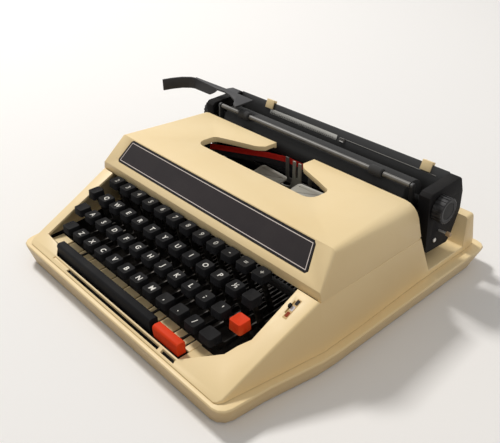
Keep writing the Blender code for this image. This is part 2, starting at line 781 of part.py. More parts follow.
def segment_slot(angle):
    """The slot that one typebar stands in, as a cutter."""
    front, rear = PRINT_Y - SEGMENT_OUTER - 1, PRINT_Y - SEGMENT_INNER + 1
    half = SLOT_WIDTH / 2
    slot = block((-half, front, SEGMENT_HIGH - SLOT_DEPTH), (half, rear, SEGMENT_HIGH + 2))
    return turned_round(slot, angle)


def segment_ring():
    """The segment: part of a ring round the printing point, with a slot for each typebar."""
    centre = (0, PRINT_Y)
    outline = arc(centre, SEGMENT_OUTER, 188, 352, 20) + arc(centre, SEGMENT_INNER, 352, 188, 14)
    half = TYPEBAR_COUNT // 2
    slots = [segment_slot(i * TYPEBAR_STEP) for i in range(-half, half + 1) if i]
    channel = block((-0.85, 195, 39), (0.85, 220, SEGMENT_HIGH + 2))
    return cut(prism(outline, SEGMENT_LOW, SEGMENT_HIGH, "Z"), channel, *slots)


def type_basket():
    """The segment with its resting typebars and the forked type guide behind them."""
    pieces = []
    half = TYPEBAR_COUNT // 2
    for i in range(-half, half + 1):
        if i:
            bar = prism(typebar_outline(), -0.45, 0.45, "X")
            pieces.append(turned_round(join(bar, slug_block(1.2)), i * TYPEBAR_STEP))
    guide = [
        (-26, 39), (26, 39), (26, 46), (9, 50), (5.5, 60), (5.5, 80), (2.1, 80), (1.7, 62),
        (-1.7, 62), (-2.1, 80), (-5.5, 80), (-5.5, 60), (-9, 50), (-26, 46),
    ]
    wire = turned([(-2.5, 0.9), (2.5, 0.9)], TYPEBAR_PIVOT, "X", 8)
    return join(segment_ring(), prism(guide, 229.4, 231.0, "Y"), wire, *pieces)


def typebar_h():
    """The one typebar that swings, with the eye that turns on the segment's wire."""
    bar = join(prism(typebar_outline(), -0.5, 0.5, "X"), slug_block(1.2))
    return cut(bar, turned([(-2, 1.2), (2, 1.2)], TYPEBAR_PIVOT, "X", 8))


def ribbon_vibrator():
    """The fork that lifts the ribbon: two prongs on a low bridge."""
    outline = [(-18, 52), (18, 52), (18, 80), (13.5, 80), (13.5, 58), (-13.5, 58), (-13.5, 80), (-18, 80)]
    return prism(outline, 232.0, 233.2, "Y")


def ribbon_path():
    """The ribbon's route seen from above, from one spool past the printing point to the other."""
    half = [(17.5, PRINT_Y + 0.4), (40, 227), (70, 212), (95, 199.5), (101, SPOOL_Y + SPOOL_WOUND + 0.8)]
    return [(-x, y) for x, y in reversed(half)] + half


def ribbon_spool(side):
    """A spool with its wound ribbon between two flanges."""
    low = CUP_Z + 2.2
    profile = [
        (low, SPOOL_RADIUS - 0.6), (low + 1.2, SPOOL_RADIUS), (low + 1.3, SPOOL_WOUND),
        (low + 14.7, SPOOL_WOUND), (low + 14.8, SPOOL_RADIUS), (low + 16, SPOOL_RADIUS - 0.6),
    ]
    centre = (side * SPOOL_X, SPOOL_Y)
    hole = turned([(low - 2, 2.95), (low + 20, 2.95)], centre, "Z", 10)
    return cut(turned(profile, centre, "Z", 20), hole)


def colour_selector():
    """The ribbon colour lever: a stem through its slot and a small finger piece above."""
    x, y = SELECTOR
    z = slope_z(y)
    thick, long = SELECTOR_STEM
    stem = [(y - long, z - 12), (y + long, z - 12), (y + long, z + 1.4), (y - long, z + 1.4)]
    finger = [(y - 1.5, z - 0.2), (y + 1.5, z + 1.1), (y + 1.1, z + 2.9), (y - 1.2, z + 2.1)]
    return join(prism(stem, x - thick, x + thick, "X"), prism(finger, x - 1.2, x + 1.2, "X"))


def mechanism():
    """The frame and the type work."""
    add("main_frame", main_frame(), "black enamel")
    add("type_basket", type_basket(), "dark steel")
    add("typebar_h", typebar_h(), "bright steel", (0, *TYPEBAR_PIVOT))
    add("ribbon_vibrator", ribbon_vibrator(), "bright steel")
    add("ink_ribbon", prism(strip(ribbon_path(), 0.4), CUP_Z + 4.3, CUP_Z + 16.5, "Z"), "ribbon cloth")
    for name, side in (("left", -1), ("right", 1)):
        spool = ribbon_spool(side)
        add(f"ribbon_spool_{name}", spool, "black enamel", (side * SPOOL_X, SPOOL_Y, CUP_Z))
    add("color_selector", colour_selector(), "black key")


def shrunk(outline, margin):
    """An outline drawn in towards its middle by about a margin."""
    low = Vector((min(u for u, v in outline), min(v for u, v in outline)))
    high = Vector((max(u for u, v in outline), max(v for u, v in outline)))
    middle, size = (low + high) / 2, high - low
    scale_u, scale_v = 1 - 2 * margin / size.x, 1 - 2 * margin / size.y
    return [(middle.x + (u - middle.x) * scale_u, middle.y + (v - middle.y) * scale_v) for u, v in outline]


def end_plate(side):
    """A carriage end plate: a shell open on its inner side, with a boss for the bail's pivot."""
    outline = [
        (275, 37.5), (281, 45), (289.6, 67.4), (289, 86), (284, 100), (281, 102.5),
        (262, 101.5), (240, 101), (236.5, 98), (241.5, 41.5), (243.5, 39.7),
    ]
    shell = cut(
        prism(outline, side * PLATE_INNER_X, side * PLATE_OUTER_X, "X"),
        prism(shrunk(outline, 2.2), side * (PLATE_INNER_X - 1), side * (PLATE_OUTER_X - 2.5), "X"),
        turned([(side * 140, SHAFT_RADIUS + 0.4), (side * 150, SHAFT_RADIUS + 0.4)], PLATEN_AXIS, "X", 16),
    )
    boss = cut(
        turned([(side * 131, 3.6), (side * 146.5, 3.6)], BAIL_PIVOT, "X", 12),
        turned([(side * 130, 1.85), (side * 138, 1.85)], BAIL_PIVOT, "X", 12),
    )
    return join(shell, boss)


def carriage_frame():
    """The carriage: two end plates on a beam, a truck that holds the rail, and the lever's post."""
    beam = [
        (252, 41.5), (274, 41.5), (279, 47), (280.5, 60), (277.5, 60), (276, 50), (272, 45.5), (252, 45.5),
    ]
    truck = [
        (255.6, 29.5), (257.6, 29.5), (257.6, RAIL_TOP + 0.4), (274.4, RAIL_TOP + 0.4),
        (274.4, 29.5), (276.4, 29.5), (276.4, 43), (255.6, 43),
    ]
    post_x, post_y = LEVER_PIVOT
    post = cut(
        turned([(43, 4.5), (48, 3.6), (106.5, 3.6)], LEVER_PIVOT, "Z", 12),
        turned([(96, 2.3), (110, 2.3)], LEVER_PIVOT, "Z", 12),
    )
    return join(
        prism(beam, -146.5, 146.5, "X"), prism(truck, -20, 20, "X"), post, end_plate(-1), end_plate(1)
    )


def paper_table():
    """The sheet behind the platen that the paper leans on."""
    return prism(strip(TABLE_PATH, 1.4), -PLATE_INNER_X + GAP, PLATE_INNER_X - GAP, "X")


def margin_stop(x):
    """A stop that straddles the top edge of the paper table."""
    top = Vector(TABLE_PATH[0])
    up = (top - Vector(TABLE_PATH[1])).normalized()
    out = Vector((up.y, -up.x))
    outside = [(-2.6, -7), (-2.6, 2.6), (2.6, 2.6), (2.6, -7)]
    inside = [(1.05, -7), (1.05, GAP), (-1.05, GAP), (-1.05, -7)]
    outline = [tuple(top + out * a + up * b) for a, b in outside + inside]
    return prism(outline, x - 5.5, x + 5.5, "X")


def platen():
    """The roller on its shaft, with a knob at each end."""
    half = [
        (PLATEN_HALF_LENGTH, PLATEN_RADIUS), (PLATEN_HALF_LENGTH + 0.1, SHAFT_RADIUS),
        (PLATE_OUTER_X + 0.8, SHAFT_RADIUS), (PLATE_OUTER_X + 0.9, KNOB_RADIUS),
        (PLATE_OUTER_X + 8.6, KNOB_RADIUS - 0.6), (PLATE_OUTER_X + 9.8, KNOB_RADIUS - 2.2),
    ]
    profile = [(-x, radius) for x, radius in reversed(half)] + half
    return turned(profile, PLATEN_AXIS, "X", 24)


def paper_bail():
    """The bail: a rod over the platen between two arms, each with a pivot pin."""
    pieces = []
    for side in (-1, 1):
        path = [BAIL_AXIS, (240.4, 88), (241.6, 76), BAIL_PIVOT]
        arm = prism(strip(path, 5.0), side * 126, side * 128.4, "X")
        pin = turned([(side * 127, 1.5), (side * 136.5, 1.5)], BAIL_PIVOT, "X", 8)
        pieces += [arm, pin]
        for centre in (BAIL_AXIS, BAIL_PIVOT):
            pieces.append(turned([(side * 126, 2.9), (side * 128.4, 2.9)], centre, "X", 10))
    return join(turned([(-127, BAIL_RADIUS), (127, BAIL_RADIUS)], BAIL_AXIS, "X", 10), *pieces)


def bail_roller(x):
    """A rubber roller that turns on the bail's rod."""
    low, high, hole = BAIL_ROLLER - 0.6, BAIL_ROLLER, BAIL_RADIUS + GAP
    tyre = turned([(x - 7, low), (x - 6.2, high), (x + 6.2, high), (x + 7, low)], BAIL_AXIS, "X", 16)
    return cut(tyre, turned([(x - 8, hole), (x + 8, hole)], BAIL_AXIS, "X", 10))


def return_lever():
    """The line-space and return lever: a flat arm over the platen that turns down into a blade."""
    x, y = LEVER_PIVOT
    arm = [
        (-92, 256), (-92, 231), (-99, 234), (-106, 242), (-120, 248), (-133, 251), (-145, 250),
        (-190, 253.6), (-190, 256.6), (x - 9, 257.5), (x - 6, 265), (x + 5, 265), (x + 10, 257),
    ]
    blade = strip([(-187, 255.2), (-195, 252.5), (-203, 245), (-208.5, 235), (-212, 224)], 1.8)
    hub = turned([(106.8, 5.8), (111, 5.8)], LEVER_PIVOT, "Z", 14)
    pin = turned([(97.5, 2.0), (108, 2.0)], LEVER_PIVOT, "Z", 10)
    return join(prism(arm, 110, 112, "Z"), prism(blade, 99, 112, "Z"), hub, pin)


def carriage():
    """The carriage and everything that rides on it."""
    add("carriage_frame", carriage_frame(), "black enamel")
    add("paper_table", paper_table(), "black enamel")
    add("platen", platen(), "platen rubber", (0, *PLATEN_AXIS))
    add("paper_bail", paper_bail(), "black enamel", (0, *BAIL_PIVOT))
    for name, side in (("left", -1), ("right", 1)):
        x = side * BAIL_ROLLER_X
        add(f"bail_roller_{name}", bail_roller(x), "platen rubber", (x, *BAIL_AXIS))
    add("return_lever", return_lever(), "black enamel", (*LEVER_PIVOT, 107))
    for name, x in (("left", STOP_X[0]), ("right", STOP_X[1])):
        add(f"margin_stop_{name}", margin_stop(x), "cream plastic", (x, *TABLE_PATH[0]))


def main():
    """Build every piece."""
    clear_scene()
    front_edge = bpy.data.objects.new("front_edge", None)
    front_edge.location = (0, -RIM_DEPTH / 2 * MM, 0)
    bpy.context.scene.collection.objects.link(front_edge)
    add("base_tray", tray(), "cream plastic")
    add("keyboard_housing", housing(), "cream plastic")
    add("ribbon_cover", cover(), "cream plastic", (0, *COVER_PIVOT))
    add("cover_inlay", inlay(), "black panel", (0, *COVER_PIVOT))
    keyboard()
    mechanism()
    carriage()


main()
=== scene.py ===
"""Dresses the manual typewriter: finishes, softened edges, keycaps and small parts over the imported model.

Sizes are written in millimetres in the machine's own frame: x is 0 in the middle of the machine and
grows to the right, y is 0 at the front edge of the tray and grows to the rear, z is 0 on the table.
"""

from __future__ import annotations

import functools
import logging
import math
from collections.abc import Callable, Iterable, Sequence
from dataclasses import dataclass, field
from enum import Enum

import bmesh
import bpy
from mathutils import Matrix, Vector


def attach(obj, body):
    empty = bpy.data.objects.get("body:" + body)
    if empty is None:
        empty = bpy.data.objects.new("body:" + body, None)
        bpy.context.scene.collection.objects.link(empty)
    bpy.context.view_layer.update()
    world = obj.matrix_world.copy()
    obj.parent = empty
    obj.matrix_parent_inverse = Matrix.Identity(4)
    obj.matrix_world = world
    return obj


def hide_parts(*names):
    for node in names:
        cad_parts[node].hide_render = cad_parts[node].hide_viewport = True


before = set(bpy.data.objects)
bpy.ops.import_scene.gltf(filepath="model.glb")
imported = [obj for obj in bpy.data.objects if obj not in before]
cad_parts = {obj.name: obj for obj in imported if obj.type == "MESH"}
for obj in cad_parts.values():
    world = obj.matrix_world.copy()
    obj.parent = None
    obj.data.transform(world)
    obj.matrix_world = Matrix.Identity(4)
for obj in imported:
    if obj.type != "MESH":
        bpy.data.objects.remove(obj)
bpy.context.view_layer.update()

LOG = logging.getLogger("typewriter")

MIDDLE_Y = 160.85
METRES = Matrix.Scale(0.001, 4) @ Matrix.Translation((0.0, -MIDDLE_Y, 0.0))
RUB = "rub"
DUST = (0.42, 0.39, 0.34, 1.0)
MERGE = 0.000004
FLAT = math.radians(0.6)

Triple = tuple[float, float, float]
Socket = bpy.types.NodeSocket
Tree = bpy.types.NodeTree
Piece = bpy.types.Object


def spot(x: float, y: float, z: float) -> Vector:
    """The place in metres in the shared frame of a place in millimetres in the machine's frame."""
    return METRES @ Vector((x, y, z))


class Kind(Enum):
    """What a finish is made of. Only metal is metallic in the material."""

    MOULDED = "moulded"
    ENAMEL = "enamel"
    METAL = "metal"
    RUBBER = "rubber"
    CLOTH = "cloth"
    PRINT = "print"


def feed(tree: Tree, socket: Socket, value: object) -> None:
    """Link a socket to another one, or set it to a value."""
    if isinstance(value, Socket):
        tree.links.new(value, socket)
    else:
        socket.default_value = value


def once(build: Callable[[type], Tree]) -> Callable[[type], Tree]:
    """Let a node group be built at its first use, and hand out the same one afterwards."""

    @functools.wraps(build)
    def shared(cls: type) -> Tree:
        """The group, new or found."""
        return bpy.data.node_groups.get(build.__name__) or build(cls)

    return shared


class Effects:
    """The shared effects, each a node group that is built once."""

    @staticmethod
    def start(name: str, inputs: dict[str, tuple[str, object]], outputs: dict[str, str]) -> tuple:
        """Begin a group with its sockets.

        Args:
            name: The group's name.
            inputs: Name to socket type and standard value, which may be None.
            outputs: Name to socket type.

        Returns:
            The group, its inputs by name, and what links a socket to one of its outputs.
        """
        group = bpy.data.node_groups.new(name, "ShaderNodeTree")
        for label, (kind, standard) in inputs.items():
            socket = group.interface.new_socket(label, in_out="INPUT", socket_type=f"NodeSocket{kind}")
            if standard is not None:
                socket.default_value = standard
        for label, kind in outputs.items():
            group.interface.new_socket(label, in_out="OUTPUT", socket_type=f"NodeSocket{kind}")
        into = group.nodes.new("NodeGroupInput").outputs
        out = group.nodes.new("NodeGroupOutput").inputs
        return group, into, lambda label, socket: group.links.new(socket, out[label])

    @staticmethod
    def math_node(group: Tree, operation: str, *values: object) -> Socket:
        """Add a Math node.

        Args:
            group: The tree that it goes in.
            operation: The operation's name.
            values: Sockets to link or numbers to set, in order.

        Returns:
            The result's socket.
        """
        node = group.nodes.new("ShaderNodeMath")
        node.operation = operation
        for socket, value in zip(node.inputs, values):
            feed(group, socket, value)
        return node.outputs[0]

    @staticmethod
    def noise(group: Tree, vector: object, scale: object, detail: float) -> Socket:
        """Add a noise.

        Args:
            group: The tree that it goes in.
            vector: The socket with the coordinates.
            scale: A socket or a number.
            detail: How many octaves it has.

        Returns:
            The noise's value.
        """
        node = group.nodes.new("ShaderNodeTexNoise")
        node.inputs["Detail"].default_value = detail
        group.links.new(vector, node.inputs["Vector"])
        feed(group, node.inputs["Scale"], scale)
        return node.outputs["Fac"]

    @staticmethod
    def ramp(group: Tree, value: object, low: float, high: float) -> Socket:
        """Stretch the values between low and high to 0 and 1, and clamp the rest."""
        node = group.nodes.new("ShaderNodeMapRange")
        node.inputs["From Min"].default_value = low
        node.inputs["From Max"].default_value = high
        group.links.new(value, node.inputs["Value"])
        return node.outputs["Result"]

    @staticmethod
    def mix(group: Tree, mask: object, first: object, second: object) -> Socket:
        """Mix two colours by a mask."""
        node = group.nodes.new("ShaderNodeMix")
        node.data_type = "RGBA"
        group.links.new(mask, node.inputs[0])
        feed(group, node.inputs[6], first)
        feed(group, node.inputs[7], second)
        return node.outputs[2]

    @classmethod
    @once
    def mottle(cls) -> Tree:
        """Slow, soft changes of colour and gloss, as old plastic and paint have."""
        group, into, give = cls.start(
            "mottle",
            {"Vector": ("Vector", None), "Colour": ("Color", None), "Second": ("Color", None),
             "Scale": ("Float", 12.0), "Roughness": ("Float", 0.4), "Spread": ("Float", 0.08)},
            {"Colour": "Color", "Roughness": "Float"},
        )
        slow = cls.noise(group, into["Vector"], into["Scale"], 3.0)
        slow = cls.ramp(group, slow, 0.35, 0.68)
        give("Colour", cls.mix(group, slow, into["Colour"], into["Second"]))
        swing = cls.math_node(group, "SUBTRACT", cls.noise(group, into["Vector"], 70.0, 2.0), 0.5)
        swing = cls.math_node(group, "MULTIPLY", swing, into["Spread"])
        give("Roughness", cls.math_node(group, "ADD", into["Roughness"], swing))
        return group

    @classmethod
    @once
    def grain(cls) -> Tree:
        """The fine pebbled grain of moulded plastic or thick paint, as a height."""
        group, into, give = cls.start(
            "grain", {"Vector": ("Vector", None), "Scale": ("Float", 900.0)}, {"Height": "Float"}
        )
        fine = cls.noise(group, into["Vector"], into["Scale"], 2.0)
        broad = cls.noise(group, into["Vector"], 55.0, 1.0)
        broad = cls.math_node(group, "MULTIPLY", broad, 0.6)
        give("Height", cls.math_node(group, "ADD", fine, broad))
        return group

    @classmethod
    @once
    def rub(cls) -> Tree:
        """Where hands and cases have rubbed the edges, broken up by a noise."""
        group, into, give = cls.start(
            "rub",
            {"Vector": ("Vector", None), "Edge": ("Float", 0.0), "Colour": ("Color", None),
             "Worn": ("Color", None), "Amount": ("Float", 0.5)},
            {"Colour": "Color"},
        )
        patchy = cls.ramp(group, cls.noise(group, into["Vector"], 160.0, 4.0), 0.38, 0.62)
        mask = cls.math_node(group, "MULTIPLY", patchy, into["Edge"])
        mask = cls.math_node(group, "MULTIPLY", mask, into["Amount"])
        give("Colour", cls.mix(group, mask, into["Colour"], into["Worn"]))
        return group

    @classmethod
    @once
    def dust(cls) -> Tree:
        """Dust that lies on what faces up, thicker in patches."""
        group, into, give = cls.start(
            "dust",
            {"Vector": ("Vector", None), "Up": ("Float", 0.0), "Colour": ("Color", None),
             "Roughness": ("Float", 0.4), "Amount": ("Float", 0.1)},
            {"Colour": "Color", "Roughness": "Float"},
        )
        patchy = cls.ramp(group, cls.noise(group, into["Vector"], 45.0, 5.0), 0.30, 0.75)
        lying = cls.ramp(group, into["Up"], 0.35, 0.95)
        mask = cls.math_node(group, "MULTIPLY", patchy, lying)
        mask = cls.math_node(group, "MULTIPLY", mask, into["Amount"])
        give("Colour", cls.mix(group, mask, into["Colour"], DUST))
        give("Roughness", cls.math_node(group, "ADD", into["Roughness"], mask))
        return group


@dataclass(frozen=True)
class Finish:
    """A finish and the material made from it, with colours written as the eye sees them, 0 to 255."""

    name: str
    kind: Kind
    colour: Triple
    second: Triple
    worn: Triple = (150, 145, 138)
    roughness: float = 0.4
    spread: float = 0.1
    mottle_scale: float = 14.0
    grain_scale: float = 900.0
    grain_height: float = 0.1
    rubbed: float = 0.4
    dust: float = 0.08
    shine: float = 0.5

    @staticmethod
    def linear(colour: Triple) -> tuple[float, float, float, float]:
        """A written colour as the shader takes it."""
        shares = [value / 255 for value in colour]
        lit = [v / 12.92 if v <= 0.04045 else ((v + 0.055) / 1.055) ** 2.4 for v in shares]
        return (lit[0], lit[1], lit[2], 1.0)

    def place_group(self, tree: Tree, group: Tree, **values: object) -> bpy.types.Node:
        """Put a shared effect in a material.

        Args:
            tree: The material's tree.
            group: The shared effect.
            values: Input names to sockets, which are linked, or values, which are set.

        Returns:
            The group's node.
        """
        node = tree.nodes.new("ShaderNodeGroup")
        node.node_tree = group
        for label, value in values.items():
            feed(tree, node.inputs[label], value)
        return node

    def material(self) -> bpy.types.Material:
        """The finish as a material, made at its first use."""
        found = bpy.data.materials.get(self.name)
        if found:
            return found
        made = bpy.data.materials.new(self.name)
        made.use_nodes = True
        tree = made.node_tree
        shader = tree.nodes["Principled BSDF"]
        shader.inputs["Metallic"].default_value = 1.0 if self.kind is Kind.METAL else 0.0
        shader.inputs["Specular IOR Level"].default_value = self.shine
        places = tree.nodes.new("ShaderNodeTexCoord")
        upward = tree.nodes.new("ShaderNodeSeparateXYZ")
        tree.links.new(places.outputs["Normal"], upward.inputs[0])
        edge = tree.nodes.new("ShaderNodeAttribute")
        edge.attribute_name = RUB
        vector = places.outputs["Object"]
        mottle = self.place_group(
            tree, Effects.mottle(), Vector=vector, Colour=self.linear(self.colour),
            Second=self.linear(self.second), Scale=self.mottle_scale, Roughness=self.roughness,
            Spread=self.spread,
        )
        rub = self.place_group(
            tree, Effects.rub(), Vector=vector, Edge=edge.outputs["Fac"], Colour=mottle.outputs["Colour"],
            Worn=self.linear(self.worn), Amount=self.rubbed,
        )
        dust = self.place_group(
            tree, Effects.dust(), Vector=vector, Up=upward.outputs[2], Colour=rub.outputs["Colour"],
            Roughness=mottle.outputs["Roughness"], Amount=self.dust,
        )
        grain = self.place_group(tree, Effects.grain(), Vector=vector, Scale=self.grain_scale)
        bump = tree.nodes.new("ShaderNodeBump")
        bump.inputs["Strength"].default_value = self.grain_height
        bump.inputs["Distance"].default_value = 0.0004
        tree.links.new(grain.outputs["Height"], bump.inputs["Height"])
        tree.links.new(dust.outputs["Colour"], shader.inputs["Base Color"])
        tree.links.new(dust.outputs["Roughness"], shader.inputs["Roughness"])
        tree.links.new(bump.outputs["Normal"], shader.inputs["Normal"])
        return made

    def on(self, *pieces: Piece) -> None:
        """Give the finish to pieces, in place of what they had."""
        for piece in pieces:
            piece.data.materials.clear()
            piece.data.materials.append(self.material())


def printed(name: str, colour: Triple, second: Triple) -> Finish:
    """A matt printed finish."""
    return Finish(name, Kind.PRINT, colour, second, roughness=0.6, rubbed=0.0, dust=0.0, shine=0.15)


def inked(name: str, colour: Triple, second: Triple) -> Finish:
    """Inked ribbon cloth."""
    return Finish(name, Kind.CLOTH, colour, second, roughness=0.9, grain_scale=2600, grain_height=0.5,
                  rubbed=0.0, dust=0.0)


CREAM = Finish("cream_shell", Kind.MOULDED, (247, 224, 176), (242, 216, 164), (251, 236, 200), shine=0.35,
               roughness=0.42, grain_scale=1400, grain_height=0.10, rubbed=0.25, dust=0.02, mottle_scale=9)
PANEL = Finish("inlay_satin", Kind.MOULDED, (42, 36, 38), (36, 31, 33), roughness=0.5, grain_height=0.05,
               rubbed=0.1, dust=0.04, shine=0.2)
BORDER = Finish("inlay_border", Kind.MOULDED, (20, 17, 18), (16, 14, 15), roughness=0.5, rubbed=0.0,
                dust=0.03, shine=0.2)
PAINT_LINE = printed("inlay_line", (238, 228, 222), (228, 216, 210))
KEY_BLACK = Finish("keycap_black", Kind.MOULDED, (18, 18, 20), (13, 13, 15), (48, 48, 50), roughness=0.7,
                   grain_scale=1600, grain_height=0.06, rubbed=0.4, dust=0.02, shine=0.12)
KEY_RED = Finish("keycap_red", Kind.MOULDED, (232, 72, 24), (218, 54, 18), (240, 124, 70), roughness=0.6,
                 grain_height=0.06, rubbed=0.4, dust=0.0, shine=0.15)
# Painted shade: this dark finish goes inside the tray, in its front slots and on the housing's downward
# faces, and stands in for the shade that falls there.
PAINTED_SHADE_INSIDE = Finish("inside_painted_shade", Kind.MOULDED, (34, 29, 26), (25, 21, 19), roughness=0.85, grain_scale=500,
                grain_height=0.5, rubbed=0.0, dust=0.10, shine=0.2)
LEGEND = printed("legend_white", (238, 236, 230), (222, 220, 214))
LEGEND_WORN = printed("legend_worn", (196, 194, 188), (170, 168, 162))
ENAMEL = Finish("black_enamel", Kind.ENAMEL, (14, 14, 15), (10, 10, 11), (58, 56, 54), roughness=0.75,
                grain_scale=700, grain_height=0.10, rubbed=0.4, dust=0.02, shine=0.12)
CRINKLE = Finish("black_crinkle", Kind.ENAMEL, (20, 19, 20), (14, 13, 14), (62, 60, 58), roughness=0.7,
                 grain_scale=1100, grain_height=0.45, rubbed=0.3, dust=0.02, shine=0.12)
STEEL = Finish("bright_steel", Kind.METAL, (196, 194, 188), (168, 166, 160), (220, 218, 214),
               roughness=0.28, grain_height=0.05, rubbed=0.2, dust=0.05)
LEVER_STEEL = Finish("lever_steel", Kind.METAL, (84, 82, 80), (58, 56, 55), roughness=0.45, dust=0.02)
RUBBER = Finish("platen_rubber", Kind.RUBBER, (30, 30, 31), (24, 24, 25), (52, 51, 50), roughness=0.62,
                grain_scale=500, grain_height=0.12, rubbed=0.2, dust=0.02, shine=0.15)
KNOB = Finish("knob_black", Kind.MOULDED, (28, 28, 30), (22, 22, 24), (84, 84, 86), roughness=0.45,
              grain_height=0.05, rubbed=0.5, dust=0.02, shine=0.2)
RIBBON_BLACK = inked("ribbon_black", (26, 22, 24), (18, 16, 18))
RIBBON_RED = inked("ribbon_red", (226, 34, 20), (200, 24, 14))
SILVER_PRINT = Finish("scale_silver", Kind.METAL, (190, 188, 182), (168, 166, 160), roughness=0.38,
                      grain_height=0.04, rubbed=0.1, dust=0.05)
TYPE_STEEL = Finish("type_steel", Kind.ENAMEL, (176, 174, 162), (148, 147, 138), roughness=0.45, dust=0.10,
                    grain_height=0.08, rubbed=0.0)
SATIN_STEEL = Finish("satin_steel", Kind.ENAMEL, (98, 96, 92), (84, 82, 79), (128, 126, 120), roughness=0.4,
                     grain_height=0.05, rubbed=0.2, dust=0.05)
LEVER_BLACK = Finish("lever_black", Kind.ENAMEL, (44, 44, 47), (38, 38, 41), (84, 83, 80), roughness=0.5,
                     grain_height=0.10, rubbed=0.3, dust=0.05, shine=0.3)
TIP = Finish("pin_tip", Kind.MOULDED, (196, 164, 120), (182, 150, 106), roughness=0.5, rubbed=0.2)
MARK_BLACK = printed("mark_black", (26, 22, 20), (20, 17, 16))
MARK_WHITE = printed("mark_white", (214, 208, 212), (202, 196, 200))
MARK_RED = printed("mark_red", (150, 58, 26), (132, 48, 22))
MARK_GROUND = printed("mark_ground", (214, 182, 130), (204, 172, 120))


class Bench:
    """A piece on the bench: a primitive in millimetres, shaped in edit mode, then put in its place."""

    def __init__(self, name: str) -> None:
        """Take the object that was just added and open it.

        Args:
            name: The piece's name.
        """
        self.piece = bpy.context.active_object
        self.piece.name = name
        self.piece.data.name = name
        bpy.ops.object.mode_set(mode="EDIT")
        bpy.ops.mesh.select_mode(type="FACE")
        bpy.ops.mesh.select_all(action="DESELECT")

    @staticmethod
    def clear() -> None:
        """Leave edit mode and deselect everything."""
        if bpy.context.object and bpy.context.object.mode != "OBJECT":
            bpy.ops.object.mode_set(mode="OBJECT")
        bpy.ops.object.select_all(action="DESELECT")

    @classmethod
    def box(cls, name: str, low: Sequence[float], high: Sequence[float]) -> Bench:
        """Start from a box.

        Args:
            name: The piece's name.
            low: The lowest corner.
            high: The highest corner.

        Returns:
            The piece on the bench.
        """
        cls.clear()
        centre = [(a + b) / 2 for a, b in zip(low, high)]
        size = [b - a for a, b in zip(low, high)]
        bpy.ops.mesh.primitive_cube_add(size=1, location=centre, scale=size)
        bpy.ops.object.transform_apply(location=True, rotation=False, scale=True)
        return cls(name)

    @classmethod
    def drum(
        cls, name: str, start: Sequence[float], axis: str, length: float, radius: float, sides: int = 32
    ) -> Bench:
        """Start from a drum with flat ends.

        Args:
            name: The piece's name.
            start: The middle of its lower end.
            axis: X, Y or Z, along which it runs.
            length: How far it runs.
            radius: Its radius.
            sides: How many sides it has.

        Returns:
            The piece on the bench.
        """
        cls.clear()
        along = Vector([length / 2 if axis == letter else 0 for letter in "XYZ"])
        turn = {"X": (0, math.pi / 2, 0), "Y": (math.pi / 2, 0, 0), "Z": (0, 0, 0)}[axis]
        bpy.ops.mesh.primitive_cylinder_add(
            vertices=sides, radius=radius, depth=abs(length), location=Vector(start) + along, rotation=turn
        )
        bpy.ops.object.transform_apply(location=True, rotation=True, scale=True)
        return cls(name)

    @classmethod
    def sheet(cls, name: str, corners: Sequence[Sequence[float]]) -> Bench:
        """Start from a flat rectangle with the given corners, in order round it."""
        cls.clear()
        bpy.ops.mesh.primitive_plane_add(size=1)
        made = cls(name)
        bm = bmesh.from_edit_mesh(made.piece.data)
        bm.verts.ensure_lookup_table()
        face = next(iter(bm.faces))
        for loop, corner in zip(face.loops, corners):
            loop.vert.co = corner
        bmesh.update_edit_mesh(made.piece.data)
        return made

    def pick(self, kind: str, test: Callable[[Vector, Vector], bool]) -> Bench:
        """Select the faces, edges or corners that pass a test, and nothing else.

        Args:
            kind: FACE, EDGE or VERT.
            test: Takes the middle and the normal (an edge's direction, for an edge).

        Returns:
            The same piece.
        """
        bpy.ops.mesh.select_all(action="DESELECT")
        bpy.ops.mesh.select_mode(type=kind)
        bm = bmesh.from_edit_mesh(self.piece.data)
        bm.normal_update()
        if kind == "FACE":
            for face in bm.faces:
                face.select_set(bool(test(face.calc_center_median(), face.normal)))
        elif kind == "EDGE":
            for edge in bm.edges:
                first, last = edge.verts[0].co, edge.verts[1].co
                edge.select_set(bool(test((first + last) / 2, (last - first).normalized())))
        else:
            for corner in bm.verts:
                corner.select_set(bool(test(corner.co, corner.normal)))
        bmesh.update_edit_mesh(self.piece.data)
        return self

    def facing(self, x: float, y: float, z: float, least: float = 0.9) -> Bench:
        """Select the faces that look along a direction."""
        way = Vector((x, y, z)).normalized()
        return self.pick("FACE", lambda centre, normal: normal.dot(way) > least)

    def uprights(self) -> Bench:
        """Select the edges that run up and down."""
        return self.pick("EDGE", lambda middle, way: abs(way.z) > 0.9)

    def ends(self) -> Bench:
        """Select the faces at both ends of a piece that lies across the machine."""
        return self.pick("FACE", lambda middle, normal: abs(normal.x) > 0.9)

    def extrude(self, x: float, y: float, z: float) -> Bench:
        """Extrude the selection by a step."""
        bpy.ops.mesh.extrude_region_move(TRANSFORM_OT_translate={"value": (x, y, z)})
        return self

    def inset(self, thickness: float, depth: float = 0.0) -> Bench:
        """Inset the selected faces, and sink or raise what is inside."""
        bpy.ops.mesh.inset(thickness=thickness, depth=depth, use_even_offset=True)
        return self

    def scale(self, x: float, y: float, z: float, centre: Sequence[float]) -> Bench:
        """Scale the selection about a place."""
        bpy.ops.transform.resize(value=(x, y, z), center_override=tuple(centre))
        return self

    def step_in(self, across: float, along: float, rise: float, centre: Sequence[float]) -> Bench:
        """Extrude the selection straight up or down, then draw it in about a centre.

        Args:
            across: What its x sizes are multiplied by.
            along: What its y sizes are multiplied by.
            rise: How far it goes up.
            centre: What it is drawn in about.

        Returns:
            The same piece, the new end selected.
        """
        return self.extrude(0, 0, rise).scale(across, along, 1, centre)

    def bevel(self, width: float, segments: int = 3) -> Bench:
        """Bevel the selected edges."""
        bpy.ops.mesh.bevel(offset=width, segments=segments, profile=0.5, affect="EDGES", clamp_overlap=True)
        return self

